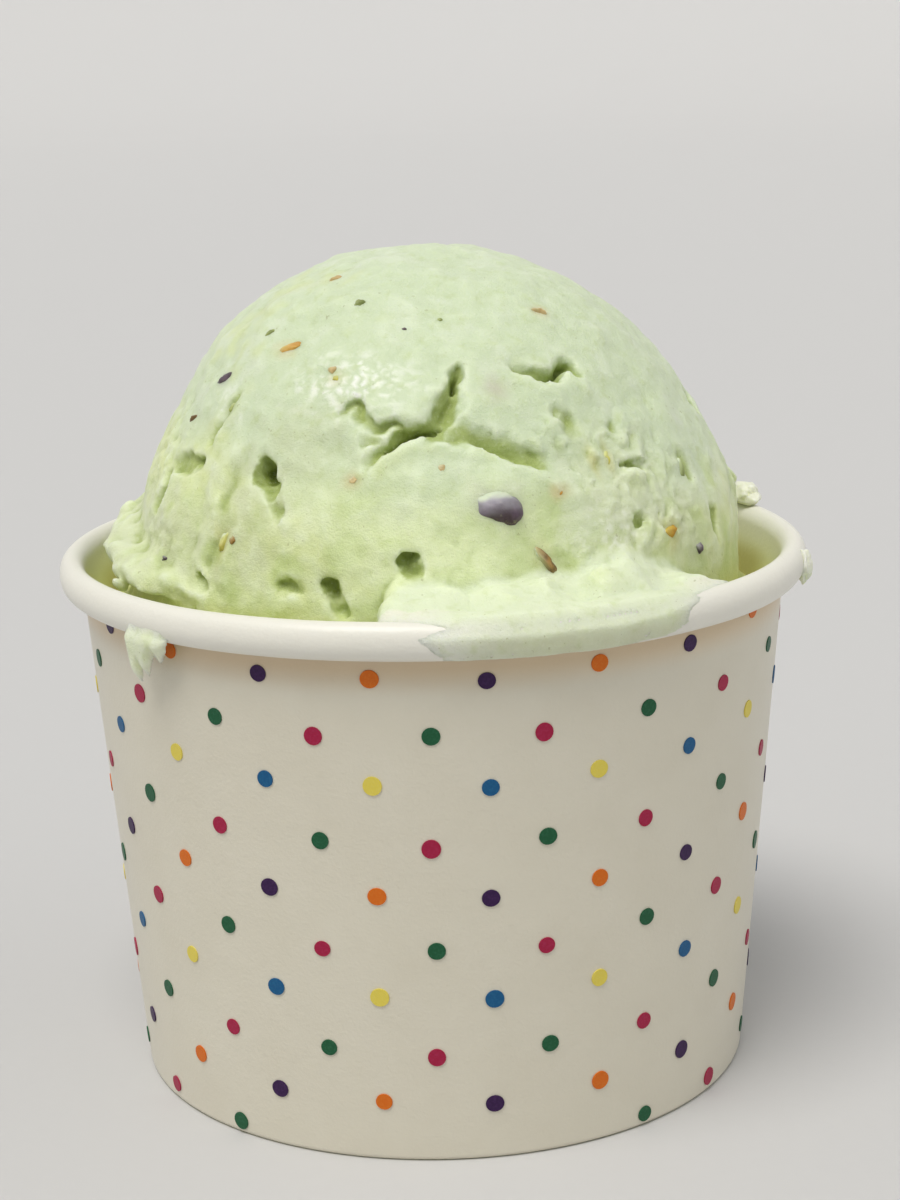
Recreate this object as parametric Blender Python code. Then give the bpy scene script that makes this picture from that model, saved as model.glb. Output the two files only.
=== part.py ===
# A paper tub of gelato: a rolled-rim paper cup, full, with one scoop on top that runs over the front rim.
# Metres, +Z up. The origin is on the cup's axis, on the surface that the cup stands on.
# The front is -Y. An azimuth is 0 at the front and grows towards +X.

import math

import bmesh
import bpy
import numpy as np
from mathutils import Matrix, Vector, noise

MM = 0.001

# Cup
CUP_HEIGHT = 54.2 * MM
FOOT_RADIUS = 31.57 * MM
NECK_RADIUS = 35.72 * MM
RIM_RADIUS = 38.0 * MM
RIM_HALF_WIDTH = 1.3 * MM
RIM_HALF_HEIGHT = 1.79 * MM
PAPER = 0.45 * MM
CURL_END = -112
FOOT_WIDTH = 1.95 * MM
FOOT_CORNER = 0.35 * MM
FOLD_TOP = 4.6 * MM
LAP_AZIMUTH = 180
LAP_WIDTH = 12
LAP_STEP = 0.35 * MM
CUP_SEGMENTS = 64

# Base disc, set up inside the foot
BASE_HEIGHT = 5.5 * MM
BASE_SKIRT_END = 0.8 * MM
BASE_CORNER = 0.5 * MM
GAP = 0.3 * MM

# Gelato: the scoop's radius every 20 degrees from its top, seen on its left and its right side
SCOOP_CENTRE = 54.0 * MM
SCOOP_STEP = 20
SCOOP_LEFT = [30.1 * MM, 30.2 * MM, 30.05 * MM, 29.2 * MM, 29.8 * MM, 31.2 * MM]
SCOOP_RIGHT = [30.1 * MM, 29.85 * MM, 29.9 * MM, 29.75 * MM, 31.0 * MM, 31.4 * MM]
SCOOP_FOOT = 98
MOAT_DEPTH = 7.5 * MM
MOAT_DEPTH_FRONT = 3.6 * MM
MOAT_SAG = 0.5 * MM
MOAT_RIPPLE = 0.8 * MM
MOAT_FRONT_TURN = 10
LUMP_HEIGHT = 0.35 * MM
LUMP_SIZE = 9.0 * MM
CORE_COLUMNS = 150
CORE_ROWS = (70, 7, 4)
GELATO_TRIANGLES = 6400

# Cracks in the scoop: points as (azimuth, angle from the top), then depth and half width
CRACKS = [
    {"path": [(6.6, 48.0), (4.4, 51.3), (2.6, 54.7), (0.5, 58.2)], "depth": 2.0 * MM, "width": 1.3 * MM},
    {"path": [(0.5, 58.2), (-2.5, 59.6), (-5.5, 60.0), (-8.5, 62.4), (-10.6, 65.0)],
     "depth": 2.4 * MM, "width": 1.3 * MM},
    {"path": [(0.5, 59.4), (6.2, 60.2), (11.7, 62.3), (17.2, 65.3), (23.8, 67.0)],
     "depth": 1.3 * MM, "width": 1.5 * MM},
    {"path": [(-18.0, 55.0), (-15.6, 52.8), (-14.4, 55.0), (-13.2, 57.2)],
     "depth": 0.9 * MM, "width": 0.9 * MM},
    {"path": [(21.6, 48.0), (27.9, 50.3), (31.0, 50.0), (34.4, 47.6), (37.4, 48.6)],
     "depth": 1.5 * MM, "width": 1.1 * MM},
    {"path": [(-49.0, 54.0), (-50.6, 57.5), (-52.6, 62.5)], "depth": 0.8 * MM, "width": 0.8 * MM},
    {"path": [(38.0, 68.2), (42.5, 68.9), (46.0, 69.5)], "depth": 0.9 * MM, "width": 1.0 * MM},
    {"path": [(118.0, 50.0), (131.0, 57.0), (140.0, 55.0), (152.0, 63.0)],
     "depth": 1.6 * MM, "width": 1.3 * MM},
    {"path": [(-150.0, 66.0), (-163.0, 70.0), (-171.0, 66.0)], "depth": 1.5 * MM, "width": 1.3 * MM},
]

# Pits and swells: (azimuth, angle from the top), half width, half height, depth (a swell is a negative depth)
PITS = [
    (-34.0, 68.3, 1.7, 2.2, 2.4),
    (-30.5, 73.5, 0.9, 2.2, 1.0),
    (-58.0, 67.8, 2.6, 1.5, 1.4),
    (-17.4, 88.4, 1.2, 2.0, 1.6),
    (-3.9, 82.2, 1.2, 1.7, 1.5),
    (-2.6, 86.4, 0.9, 0.9, 1.3),
    (30.0, 59.0, 1.4, 1.9, 0.8),
    (-26.0, 87.0, 1.6, 1.2, 0.9),
    (104.0, 74.0, 2.0, 1.6, 1.5),
    (168.0, 44.0, 1.6, 2.2, 1.3),
    (-118.0, 58.0, 2.2, 1.5, 1.4),
    (-135.0, 80.0, 1.5, 2.2, 1.5),
    (5.0, 69.5, 9.0, 5.5, -0.7),
    (-8.0, 54.5, 6.0, 4.0, -0.5),
    (18.0, 55.0, 7.0, 5.0, -0.4),
    (38.0, 76.0, 6.0, 5.0, -0.4),
]

# The torn skirt on the scoop's left foot: azimuth and half width, angle from the top and half width, reach
SKIRT = (-80.0, 26.0, 86.0, 8.0, 1.9 * MM)
SKIRT_RAGGED = 0.35

# Gelato over the front rim: for each azimuth the height of its upper edge and of its lower edge
OVERFLOW_EDGES = [
    (-8.0, 53.4, 54.6), (-6.0, 55.0, 52.8), (-4.0, 55.8, 51.9), (-2.0, 56.1, 51.7), (2.0, 55.7, 51.7),
    (4.7, 55.1, 51.7), (9.2, 56.1, 51.7), (13.6, 55.7, 51.7), (18.3, 56.4, 51.8), (24.6, 55.9, 51.8),
    (28.0, 57.4, 51.9), (33.9, 57.8, 52.1), (38.0, 56.8, 52.6), (42.0, 55.9, 53.6), (47.0, 55.1, 54.3),
    (53.0, 53.4, 54.9),
]
OVERFLOW_COLUMNS = 36
OVERFLOW_SEAT = GAP + 0.05 * MM
OVERFLOW_OVER_RIM = 0.95 * MM
OVERFLOW_TIP = 0.45 * MM
OVERFLOW_WAVE = 0.2 * MM
OVERFLOW_STEPS = 7
OVERFLOW_RIM_START = 115
OVERFLOW_INSIDE = 27.1 * MM
OVERFLOW_INSIDE_DROP = 0.6 * MM
OVERFLOW_CREST = 30.5 * MM
OVERFLOW_SHOULDER = 32.1 * MM
OVERFLOW_ROOT_TOP = 50.0 * MM
OVERFLOW_ROOT = 1.5 * MM
OVERFLOW_ROOT_STEP = 0.15 * MM
OVERFLOW_IN_MOAT = 0.6

# The drip that hangs from the rim on the left: azimuth and the height of its lower edge
DRIP_EDGE = [(-50.4, 51.8), (-49.4, 50.0), (-48.4, 48.4), (-47.2, 48.0), (-45.6, 47.2), (-43.8, 48.5),
             (-42.2, 49.0), (-40.6, 50.2), (-39.2, 52.0)]
DRIP_TOP = 53.4 * MM
DRIP_THICKNESS = 1.1 * MM
DRIP_SEAT = GAP + 0.1 * MM
DRIP_LEVELS = 6
DRIP_COLUMNS = 14
DRIP_LEAVES_RIM = -35
DRIP_LEAN = 0.25

# Small pieces on the rim: azimuth, radius, height, half sizes along the rim, outwards and up
BIT_BACK_RIGHT = (112.0, 36.4, 55.7, 2.4, 1.3, 1.2)
DROP_RIGHT = (76.0, 38.2, 52.0, 1.3, 0.85, 1.7)
SMALL_PIECE_SEAT = GAP + 0.1 * MM
SMALL_PIECE_UNEVEN = 0.25

# Nut pieces that stand out of the gelato: (azimuth, angle from the top), half sizes across and down, how far out
NUTS = [
    (12.4, 74.0, 2.5, 2.0, 1.1),
    (46.5, 82.0, 1.2, 0.9, 0.6),
    (19.4, 81.6, 1.0, 1.5, 0.6),
    (-59.1, 50.4, 1.2, 0.6, 0.5),
    (-40.5, 42.6, 1.1, 0.8, 0.45),
    (38.9, 34.7, 1.0, 0.8, 0.45),
    (-41.2, 81.0, 0.9, 1.1, 0.45),
    (56.0, 72.0, 0.9, 1.4, 0.45),
    (133.0, 38.0, 1.3, 0.9, 0.5),
    (-104.0, 72.0, 1.2, 1.0, 0.5),
    (172.0, 74.0, 1.4, 1.1, 0.6),
    (-150.0, 46.0, 1.1, 0.8, 0.45),
    (92.0, 55.0, 1.0, 1.2, 0.45),
]
BIG_NUT = 2.0
NUT_DEPTH = 0.8
NUT_UNEVEN = 0.15

MATERIALS = {
    "paper": {"colour": (0.80, 0.78, 0.71, 1), "roughness": 0.45},
    "gelato": {"colour": (0.68, 0.79, 0.55, 1), "roughness": 0.35},
}
SHARP_ANGLE = 50

WALL_SLOPE = (NECK_RADIUS - FOOT_RADIUS) / (CUP_HEIGHT - 2 * RIM_HALF_HEIGHT)
RIM_CENTRE_RADIUS = RIM_RADIUS - RIM_HALF_WIDTH
RIM_CENTRE_HEIGHT = CUP_HEIGHT - RIM_HALF_HEIGHT
BASE_TOP = BASE_HEIGHT + PAPER
FILL_BOTTOM = BASE_TOP + GAP


def clear_scene():
    for obj in list(bpy.data.objects):
        bpy.data.objects.remove(obj, do_unlink=True)


def material(name):
    spec = MATERIALS[name]
    mat = bpy.data.materials.new(name)
    mat.use_nodes = True
    shader = mat.node_tree.nodes["Principled BSDF"]
    shader.inputs["Base Color"].default_value = spec["colour"]
    shader.inputs["Roughness"].default_value = spec["roughness"]
    shader.inputs["Metallic"].default_value = 0.0
    return mat


def add_object(name, bm, mat):
    bmesh.ops.recalc_face_normals(bm, faces=bm.faces)
    mesh = bpy.data.meshes.new(name)
    bm.to_mesh(mesh)
    bm.free()
    mesh.materials.append(mat)
    mesh.shade_smooth()
    mesh.set_sharp_from_angle(angle=math.radians(SHARP_ANGLE))
    obj = bpy.data.objects.new(name, mesh)
    bpy.context.scene.collection.objects.link(obj)
    return obj


# Points and directions

def at_azimuth(azimuth, radius, height):
    angle = math.radians(azimuth)
    return Vector((radius * math.sin(angle), -radius * math.cos(angle), height))


def wall_radius(height):
    return FOOT_RADIUS + WALL_SLOPE * height


def smooth_step(x):
    x = min(max(x, 0.0), 1.0)
    return x * x * (3 - 2 * x)


def spline(values, position):
    # A smooth curve through evenly spaced values; the first end is level, as at the scoop's top
    index = min(max(int(position), 0), len(values) - 2)
    t = min(max(position - index, 0.0), 1.0)
    before = values[index - 1] if index else values[1]
    a, b = values[index], values[index + 1]
    after = values[min(index + 2, len(values) - 1)]
    return 0.5 * (2 * a + (b - before) * t + (2 * before - 5 * a + 4 * b - after) * t * t
                  + (3 * a - before - 3 * b + after) * t ** 3)


def between(table, azimuth, column):
    azimuths = [row[0] for row in table]
    values = [row[column] for row in table]
    return float(np.interp(azimuth, azimuths, values)) * MM


# Cup: the wall is one strip of paper, folded in at the foot and curled out at the rim

def arc(centre, radius, start, end, steps, stretch=1.0):
    points = []
    for i in range(steps + 1):
        angle = math.radians(start + (end - start) * i / steps)
        points.append((centre[0] + radius * math.cos(angle), centre[1] + radius * stretch * math.sin(angle)))
    return points


def wall_path():
    middle = PAPER / 2
    fold = FOOT_RADIUS - FOOT_WIDTH + middle
    wall = FOOT_RADIUS - middle
    level = middle + FOOT_CORNER
    curl = RIM_HALF_WIDTH - middle
    stretch = (RIM_HALF_HEIGHT - middle) / curl
    path = [(fold + WALL_SLOPE * FOLD_TOP, FOLD_TOP)]
    path += arc((fold + FOOT_CORNER, level), FOOT_CORNER, 180, 270, 2)
    path += arc((wall - FOOT_CORNER, level), FOOT_CORNER, 270, 360, 2)
    path += arc((RIM_CENTRE_RADIUS, RIM_CENTRE_HEIGHT), curl, 180, CURL_END, 10, stretch)
    return path


def thicken(path, thickness):
    points = np.array(path)
    along = np.gradient(points, axis=0)
    along /= np.linalg.norm(along, axis=1)[:, None]
    across = np.stack([along[:, 1], -along[:, 0]], axis=1) * thickness / 2
    return [tuple(p) for p in points + across] + [tuple(p) for p in (points - across)[::-1]]


def revolve(outline, closed):
    bm = bmesh.new()
    verts = [bm.verts.new((r, 0, z)) for r, z in outline]
    pairs = list(zip(verts, verts[1:])) + ([(verts[-1], verts[0])] if closed else [])
    edges = [bm.edges.new(pair) for pair in pairs]
    bmesh.ops.spin(bm, geom=verts + edges, cent=(0, 0, 0), axis=(0, 0, 1), angle=math.tau,
                   steps=CUP_SEGMENTS, use_merge=True)
    bmesh.ops.remove_doubles(bm, verts=bm.verts, dist=1e-6)
    return bm


def raise_lap(bm):
    # The blank's outer end lies over its inner end: a step on one side, a slow slope on the other
    pitch = 360 / CUP_SEGMENTS
    top = CUP_HEIGHT - 2 * RIM_HALF_HEIGHT
    for vert in bm.verts:
        radius = math.hypot(vert.co.x, vert.co.y)
        azimuth = math.degrees(math.atan2(vert.co.x, -vert.co.y)) % 360
        offset = azimuth - LAP_AZIMUTH
        outer = 0 < vert.co.z < top and radius > wall_radius(vert.co.z) - PAPER / 4
        if outer and -0.1 * pitch < offset < LAP_WIDTH:
            vert.co = at_azimuth(azimuth, radius + LAP_STEP * (1 - smooth_step(offset / LAP_WIDTH)), vert.co.z)


def build_cup_wall(mat):
    bm = revolve(thicken(wall_path(), PAPER), closed=True)
    raise_lap(bm)
    return add_object("cup_wall", bm, mat)


def build_cup_base(mat):
    middle = FOOT_RADIUS - PAPER - GAP - PAPER / 2
    skirt_top = middle + WALL_SLOPE * BASE_HEIGHT
    outer, inner = PAPER / 2, -PAPER / 2
    outline = [(0, BASE_TOP)]
    outline += arc((skirt_top + outer - BASE_CORNER, BASE_TOP - BASE_CORNER), BASE_CORNER, 90, 0, 3)
    outline += [(middle + WALL_SLOPE * BASE_SKIRT_END + outer, BASE_SKIRT_END)]
    outline += [(middle + WALL_SLOPE * BASE_SKIRT_END + inner, BASE_SKIRT_END)]
    outline += [(skirt_top + inner, BASE_HEIGHT), (0, BASE_HEIGHT)]
    return add_object("cup_base", revolve(outline, closed=False), mat)


# Gelato

def scoop_radius(azimuth, polar):
    right = 0.5 + 0.5 * math.sin(math.radians(azimuth))
    position = polar / SCOOP_STEP
    return spline(SCOOP_LEFT, position) * (1 - right) + spline(SCOOP_RIGHT, position) * right


def on_scoop(azimuth, polar, out=0.0):
    radius = scoop_radius(azimuth, polar) + out
    angle = math.radians(polar)
    return at_azimuth(azimuth, radius * math.sin(angle), SCOOP_CENTRE + radius * math.cos(angle))


def distance_to_path(point, path):
    best = 1.0
    for a, b in zip(path, path[1:]):
        run = b - a
        t = min(max((point - a).dot(run) / run.length_squared, 0.0), 1.0)
        best = min(best, (point - a - run * t).length)
    return best


def angle_between(a, b):
    return (a - b + 180) % 360 - 180


def relief(azimuth, polar, cracks):
    # How far the surface stands out of the plain scoop
    point = on_scoop(azimuth, polar)
    out = LUMP_HEIGHT * noise.noise(point / LUMP_SIZE)
    for crack, path in cracks:
        near = distance_to_path(point, path) / crack["width"]
        if near < 1:
            out -= crack["depth"] * (1 - smooth_step(near))
    for pit_azimuth, pit_polar, half_width, half_height, depth in PITS:
        across = math.radians(angle_between(azimuth, pit_azimuth)) * math.sin(math.radians(polar))
        down = math.radians(polar - pit_polar)
        reach = math.hypot(across * SCOOP_LEFT[0] / (half_width * MM), down * SCOOP_LEFT[0] / (half_height * MM))
        if reach < 1.5:
            out -= depth * MM * (1 - smooth_step(reach / 1.5))
    skirt_azimuth, skirt_spread, skirt_polar, skirt_height, skirt_reach = SKIRT
    beside = angle_between(azimuth, skirt_azimuth) / skirt_spread
    below = (polar - skirt_polar) / skirt_height
    ragged = 1 + SKIRT_RAGGED * noise.noise(Vector((azimuth / 6, polar / 5, 0)))
    out += skirt_reach * ragged * (1 - smooth_step(abs(beside))) * smooth_step(1 - abs(below)) ** 0.7
    return out


def overflow_share(azimuth):
    first, last = OVERFLOW_EDGES[0][0], OVERFLOW_EDGES[-1][0]
    return smooth_step((azimuth - first) / 8) * smooth_step((last - azimuth) / 8)


def moat_floor(azimuth):
    # The gelato touches the wall below the scoop's foot, highest where it runs over the rim
    front = 0.5 + 0.5 * math.cos(math.radians(azimuth + MOAT_FRONT_TURN))
    depth = MOAT_DEPTH + (MOAT_DEPTH_FRONT - MOAT_DEPTH) * front ** 3
    depth *= 1 - OVERFLOW_IN_MOAT * overflow_share(azimuth)
    around = at_azimuth(azimuth, 1, 3)
    return CUP_HEIGHT - depth + MOAT_RIPPLE * noise.noise(around * 3)


def core_point(azimuth, row, rows, cracks):
    # Rows run from the scoop's top, over its foot, down the wall and in along the base
    scoop_rows, moat_rows, side_rows = rows
    if row <= scoop_rows:
        polar = SCOOP_FOOT * row / scoop_rows
        return on_scoop(azimuth, polar, relief(azimuth, polar, cracks))
    floor = moat_floor(azimuth)
    edge = wall_radius(floor) - PAPER - GAP
    if row <= scoop_rows + moat_rows:
        foot = on_scoop(azimuth, SCOOP_FOOT, relief(azimuth, SCOOP_FOOT, cracks))
        share = (row - scoop_rows) / moat_rows
        radius = math.hypot(foot.x, foot.y)
        sag = math.sin(math.pi * share) * MOAT_SAG
        return at_azimuth(azimuth, radius + (edge - radius) * share - sag, foot.z + (floor - foot.z) * share)
    if row <= scoop_rows + moat_rows + side_rows:
        share = (row - scoop_rows - moat_rows) / side_rows
        height = floor + (FILL_BOTTOM - floor) * share
        return at_azimuth(azimuth, wall_radius(height) - PAPER - GAP, height)
    return Vector((0, 0, FILL_BOTTOM))


def build_core():
    last = sum(CORE_ROWS) + 1
    cracks = [(crack, [on_scoop(*point) for point in crack["path"]]) for crack in CRACKS]
    bm = bmesh.new()
    bmesh.ops.create_uvsphere(bm, u_segments=CORE_COLUMNS, v_segments=last, radius=1)
    for vert in bm.verts:
        polar = math.degrees(math.acos(max(-1.0, min(1.0, vert.co.z))))
        azimuth = math.degrees(math.atan2(vert.co.x, -vert.co.y))
        row = round(polar / 180 * last)
        vert.co = core_point(azimuth, row, CORE_ROWS, cracks)
    return bm


def rim_normal_offset(angle, offset):
    # A point outside the rim's rolled edge: angle 180 is its inner side, 90 its top and 0 its outer side
    turn = math.radians(angle)
    normal = Vector((math.cos(turn) / RIM_HALF_WIDTH, math.sin(turn) / RIM_HALF_HEIGHT)).normalized()
    radius = RIM_CENTRE_RADIUS + RIM_HALF_WIDTH * math.cos(turn) + offset * normal.x
    return radius, RIM_CENTRE_HEIGHT + RIM_HALF_HEIGHT * math.sin(turn) + offset * normal.y


def roll_angle(height):
    return math.degrees(math.asin(max(-0.9, min(1.0, (height - RIM_CENTRE_HEIGHT) / RIM_HALF_HEIGHT))))


def overflow_ring(azimuth):
    # One section of the gelato that lies over the rim, from the scoop out to its lower edge and back under
    upper = between(OVERFLOW_EDGES, azimuth, 1)
    lower = between(OVERFLOW_EDGES, azimuth, 2)
    share = overflow_share(azimuth)
    end = roll_angle(lower)
    over = OVERFLOW_OVER_RIM * (0.35 + 0.65 * share)
    wave = OVERFLOW_WAVE * noise.noise(Vector((azimuth / 5, 0, 7)))
    rim_top = CUP_HEIGHT + OVERFLOW_SEAT + over
    section = [(OVERFLOW_INSIDE, upper - OVERFLOW_INSIDE_DROP), (OVERFLOW_CREST, upper)]
    section += [(OVERFLOW_SHOULDER, upper * 0.55 + rim_top * 0.45)]
    for i in range(OVERFLOW_STEPS):
        part = i / (OVERFLOW_STEPS - 1)
        angle = OVERFLOW_RIM_START + (end - OVERFLOW_RIM_START) * part
        thickness = over + wave + (OVERFLOW_TIP - over) * part ** 1.5
        section.append(rim_normal_offset(angle, OVERFLOW_SEAT + thickness))
    section.append(rim_normal_offset(end - 9, OVERFLOW_SEAT + OVERFLOW_TIP / 2))
    for i in range(OVERFLOW_STEPS):
        angle = end + (180 - end) * i / (OVERFLOW_STEPS - 1)
        section.append(rim_normal_offset(angle, OVERFLOW_SEAT))
    sunk = min(moat_floor(azimuth), OVERFLOW_ROOT_TOP) - OVERFLOW_ROOT
    section.append((wall_radius(sunk) - PAPER - GAP - OVERFLOW_ROOT_STEP, sunk))
    section.append((OVERFLOW_INSIDE, sunk))
    return [at_azimuth(azimuth, r, z) for r, z in section]


def loft(rings):
    # A closed solid through rings of as many points each, with its two ends closed
    bm = bmesh.new()
    loops = [[bm.verts.new(point) for point in ring] for ring in rings]
    count = len(loops[0])
    for one, two in zip(loops, loops[1:]):
        for i in range(count):
            j = (i + 1) % count
            bm.faces.new((one[i], one[j], two[j], two[i]))
    bm.faces.new(loops[0])
    bm.faces.new(loops[-1])
    bmesh.ops.triangulate(bm, faces=bm.faces)
    return bm


def build_overflow():
    first, last = OVERFLOW_EDGES[0][0], OVERFLOW_EDGES[-1][0]
    azimuths = [first + (last - first) * i / OVERFLOW_COLUMNS for i in range(OVERFLOW_COLUMNS + 1)]
    return loft([overflow_ring(azimuth) for azimuth in azimuths])


def nut_solid(azimuth, polar, half_width, half_height, out):
    # A rounded lump, sunk in the gelato except for its outer part
    bm = bmesh.new()
    detail = 2 if half_width > BIG_NUT else 1
    bmesh.ops.create_icosphere(bm, subdivisions=detail, radius=1)
    depth = max(half_width, half_height) * NUT_DEPTH * MM
    outward = (on_scoop(azimuth, polar, MM) - on_scoop(azimuth, polar)).normalized()
    across = Vector((math.cos(math.radians(azimuth)), math.sin(math.radians(azimuth)), 0))
    turn = Matrix((across, outward.cross(across), outward)).transposed()
    centre = on_scoop(azimuth, polar, out * MM - depth)
    for vert in bm.verts:
        shape = Vector((vert.co.x * half_width * MM, vert.co.y * half_height * MM, vert.co.z * depth))
        shape *= 1 + NUT_UNEVEN * noise.noise(vert.co * 1.7 + Vector((azimuth, polar, 0)))
        vert.co = centre + turn @ shape
    return bm


def unite(target, others, solver):
    # One Boolean union on a collection, applied, and the collection's objects removed
    group = bpy.data.collections.new("fused")
    bpy.context.scene.collection.children.link(group)
    for obj in others:
        bpy.context.scene.collection.objects.unlink(obj)
        group.objects.link(obj)
    modifier = target.modifiers.new("fuse", "BOOLEAN")
    modifier.operation = "UNION"
    modifier.operand_type = "COLLECTION"
    modifier.collection = group
    modifier.solver = solver
    apply_modifiers(target)
    for obj in others:
        bpy.data.objects.remove(obj, do_unlink=True)
    bpy.data.collections.remove(group)


def apply_modifiers(obj):
    graph = bpy.context.evaluated_depsgraph_get()
    mesh = bpy.data.meshes.new_from_object(obj.evaluated_get(graph))
    obj.modifiers.clear()
    obj.data = mesh


def build_gelato(mat):
    gelato = add_object("gelato", build_core(), mat)
    overflow = add_object("overflow", build_overflow(), mat)
    unite(gelato, [overflow], "MANIFOLD")
    thin_out = gelato.modifiers.new("thin_out", "DECIMATE")
    triangles = sum(len(face.vertices) - 2 for face in gelato.data.polygons)
    thin_out.ratio = GELATO_TRIANGLES / triangles
    apply_modifiers(gelato)
    nuts = [add_object("nut", nut_solid(*nut), mat) for nut in NUTS]
    unite(gelato, nuts, "MANIFOLD")
    return gelato


# Small pieces of gelato on the rim

def clear_of_rim(point):
    # Moves a point straight out of the rim's rolled edge until it is clear of it
    radius = math.hypot(point.x, point.y)
    azimuth = math.degrees(math.atan2(point.x, -point.y))
    across, up = radius - RIM_CENTRE_RADIUS, point.z - RIM_CENTRE_HEIGHT
    half_width, half_height = RIM_HALF_WIDTH + SMALL_PIECE_SEAT, RIM_HALF_HEIGHT + SMALL_PIECE_SEAT
    reach = math.hypot(across / half_width, up / half_height)
    if reach >= 1:
        return point
    return at_azimuth(azimuth, RIM_CENTRE_RADIUS + across / reach, RIM_CENTRE_HEIGHT + up / reach)


def build_small_piece(name, place, mat):
    azimuth, radius, height, half_along, half_out, half_up = place
    bm = bmesh.new()
    bmesh.ops.create_icosphere(bm, subdivisions=2, radius=1)
    outward = at_azimuth(azimuth, 1, 0)
    along = outward.cross(Vector((0, 0, 1)))
    centre = at_azimuth(azimuth, radius * MM, height * MM)
    for vert in bm.verts:
        shape = vert.co * (1 + SMALL_PIECE_UNEVEN * noise.noise(vert.co * 1.4 + centre * 1000))
        point = centre + (along * shape.x * half_along + outward * shape.y * half_out) * MM
        point.z += shape.z * half_up * MM
        vert.co = clear_of_rim(point)
    return add_object(name, bm, mat)


def drip_ring(azimuth):
    # One section of the hanging drip: down its outer face and back up its inner face
    low = between(DRIP_EDGE, azimuth, 1)
    first, last = DRIP_EDGE[0][0], DRIP_EDGE[-1][0]
    share = math.sqrt(smooth_step((azimuth - first) / 4) * smooth_step((last - azimuth) / 4))
    thick = DRIP_THICKNESS * (0.25 + 0.75 * share)
    outer, inner = [], []
    for i in range(DRIP_LEVELS + 1):
        part = i / DRIP_LEVELS
        height = DRIP_TOP + (low - DRIP_TOP) * part
        angle = roll_angle(height)
        radius, level = rim_normal_offset(max(angle, DRIP_LEAVES_RIM), DRIP_SEAT)
        if angle < DRIP_LEAVES_RIM:
            radius -= DRIP_LEAN * (level - height)
            level = height
        bulge = thick * math.sin(math.pi * (0.08 + 0.84 * part)) ** 0.5
        outer.append((radius + bulge, level))
        inner.append((radius, level))
    return [at_azimuth(azimuth, r, z) for r, z in outer + inner[::-1]]


def build_drip(mat):
    first, last = DRIP_EDGE[0][0], DRIP_EDGE[-1][0]
    azimuths = [first + (last - first) * i / DRIP_COLUMNS for i in range(DRIP_COLUMNS + 1)]
    return add_object("gelato_drip_left", loft([drip_ring(azimuth) for azimuth in azimuths]), mat)


def main():
    clear_scene()
    paper = material("paper")
    gelato = material("gelato")
    build_cup_wall(paper)
    build_cup_base(paper)
    build_gelato(gelato)
    build_drip(gelato)
    build_small_piece("gelato_bit_right", BIT_BACK_RIGHT, gelato)
    build_small_piece("gelato_drop_right", DROP_RIGHT, gelato)


main()
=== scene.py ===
import math

import bmesh
import bpy
import numpy as np
from mathutils import Matrix, Vector, noise
from mathutils.bvhtree import BVHTree


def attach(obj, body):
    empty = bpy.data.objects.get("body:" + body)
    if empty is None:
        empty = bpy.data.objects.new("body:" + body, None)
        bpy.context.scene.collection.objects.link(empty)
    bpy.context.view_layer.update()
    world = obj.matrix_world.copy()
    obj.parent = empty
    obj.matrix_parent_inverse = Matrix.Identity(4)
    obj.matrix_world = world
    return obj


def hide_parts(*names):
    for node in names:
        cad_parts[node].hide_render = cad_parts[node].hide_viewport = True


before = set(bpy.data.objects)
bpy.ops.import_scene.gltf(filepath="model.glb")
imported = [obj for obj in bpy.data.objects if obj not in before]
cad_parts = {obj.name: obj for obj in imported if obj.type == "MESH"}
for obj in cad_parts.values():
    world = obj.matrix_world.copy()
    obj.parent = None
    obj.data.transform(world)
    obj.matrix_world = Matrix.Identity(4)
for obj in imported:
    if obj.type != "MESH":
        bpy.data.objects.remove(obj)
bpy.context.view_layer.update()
mm = 0.001

# A paper tub of gelato with one scoop. Azimuth 0 is the front, -Y, and grows towards +X, in degrees.
# A place on the scoop is (azimuth, angle from its top). Sizes below are in millimetres.

cup = {
    "height": 54.2, "foot radius": 31.57, "neck radius": 35.72, "rim radius": 38.0,
    "rim half width": 1.3, "rim half height": 1.79, "paper": 0.45, "curl end": -112,
    "foot width": 1.95, "foot corner": 0.35, "fold top": 4.6,
    "lap azimuth": 180, "lap width": 12, "lap step": 0.35, "segments": 288,
}
base = {"height": 5.5, "skirt end": 0.8, "corner": 0.5, "gap": 0.3}

wallSlope = (cup["neck radius"] - cup["foot radius"]) / (cup["height"] - 2 * cup["rim half height"])
rimMiddleRadius = cup["rim radius"] - cup["rim half width"]
rimMiddleHeight = cup["height"] - cup["rim half height"]
baseTop = base["height"] + cup["paper"]


def wallRadius(height):
    return cup["foot radius"] + wallSlope * height


def atAzimuth(azimuth, radius, height):
    turn = math.radians(azimuth)
    return Vector((radius * math.sin(turn), -radius * math.cos(turn), height))


# Nodes: a wire stands for one socket, and arithmetic on wires adds Math nodes

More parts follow.
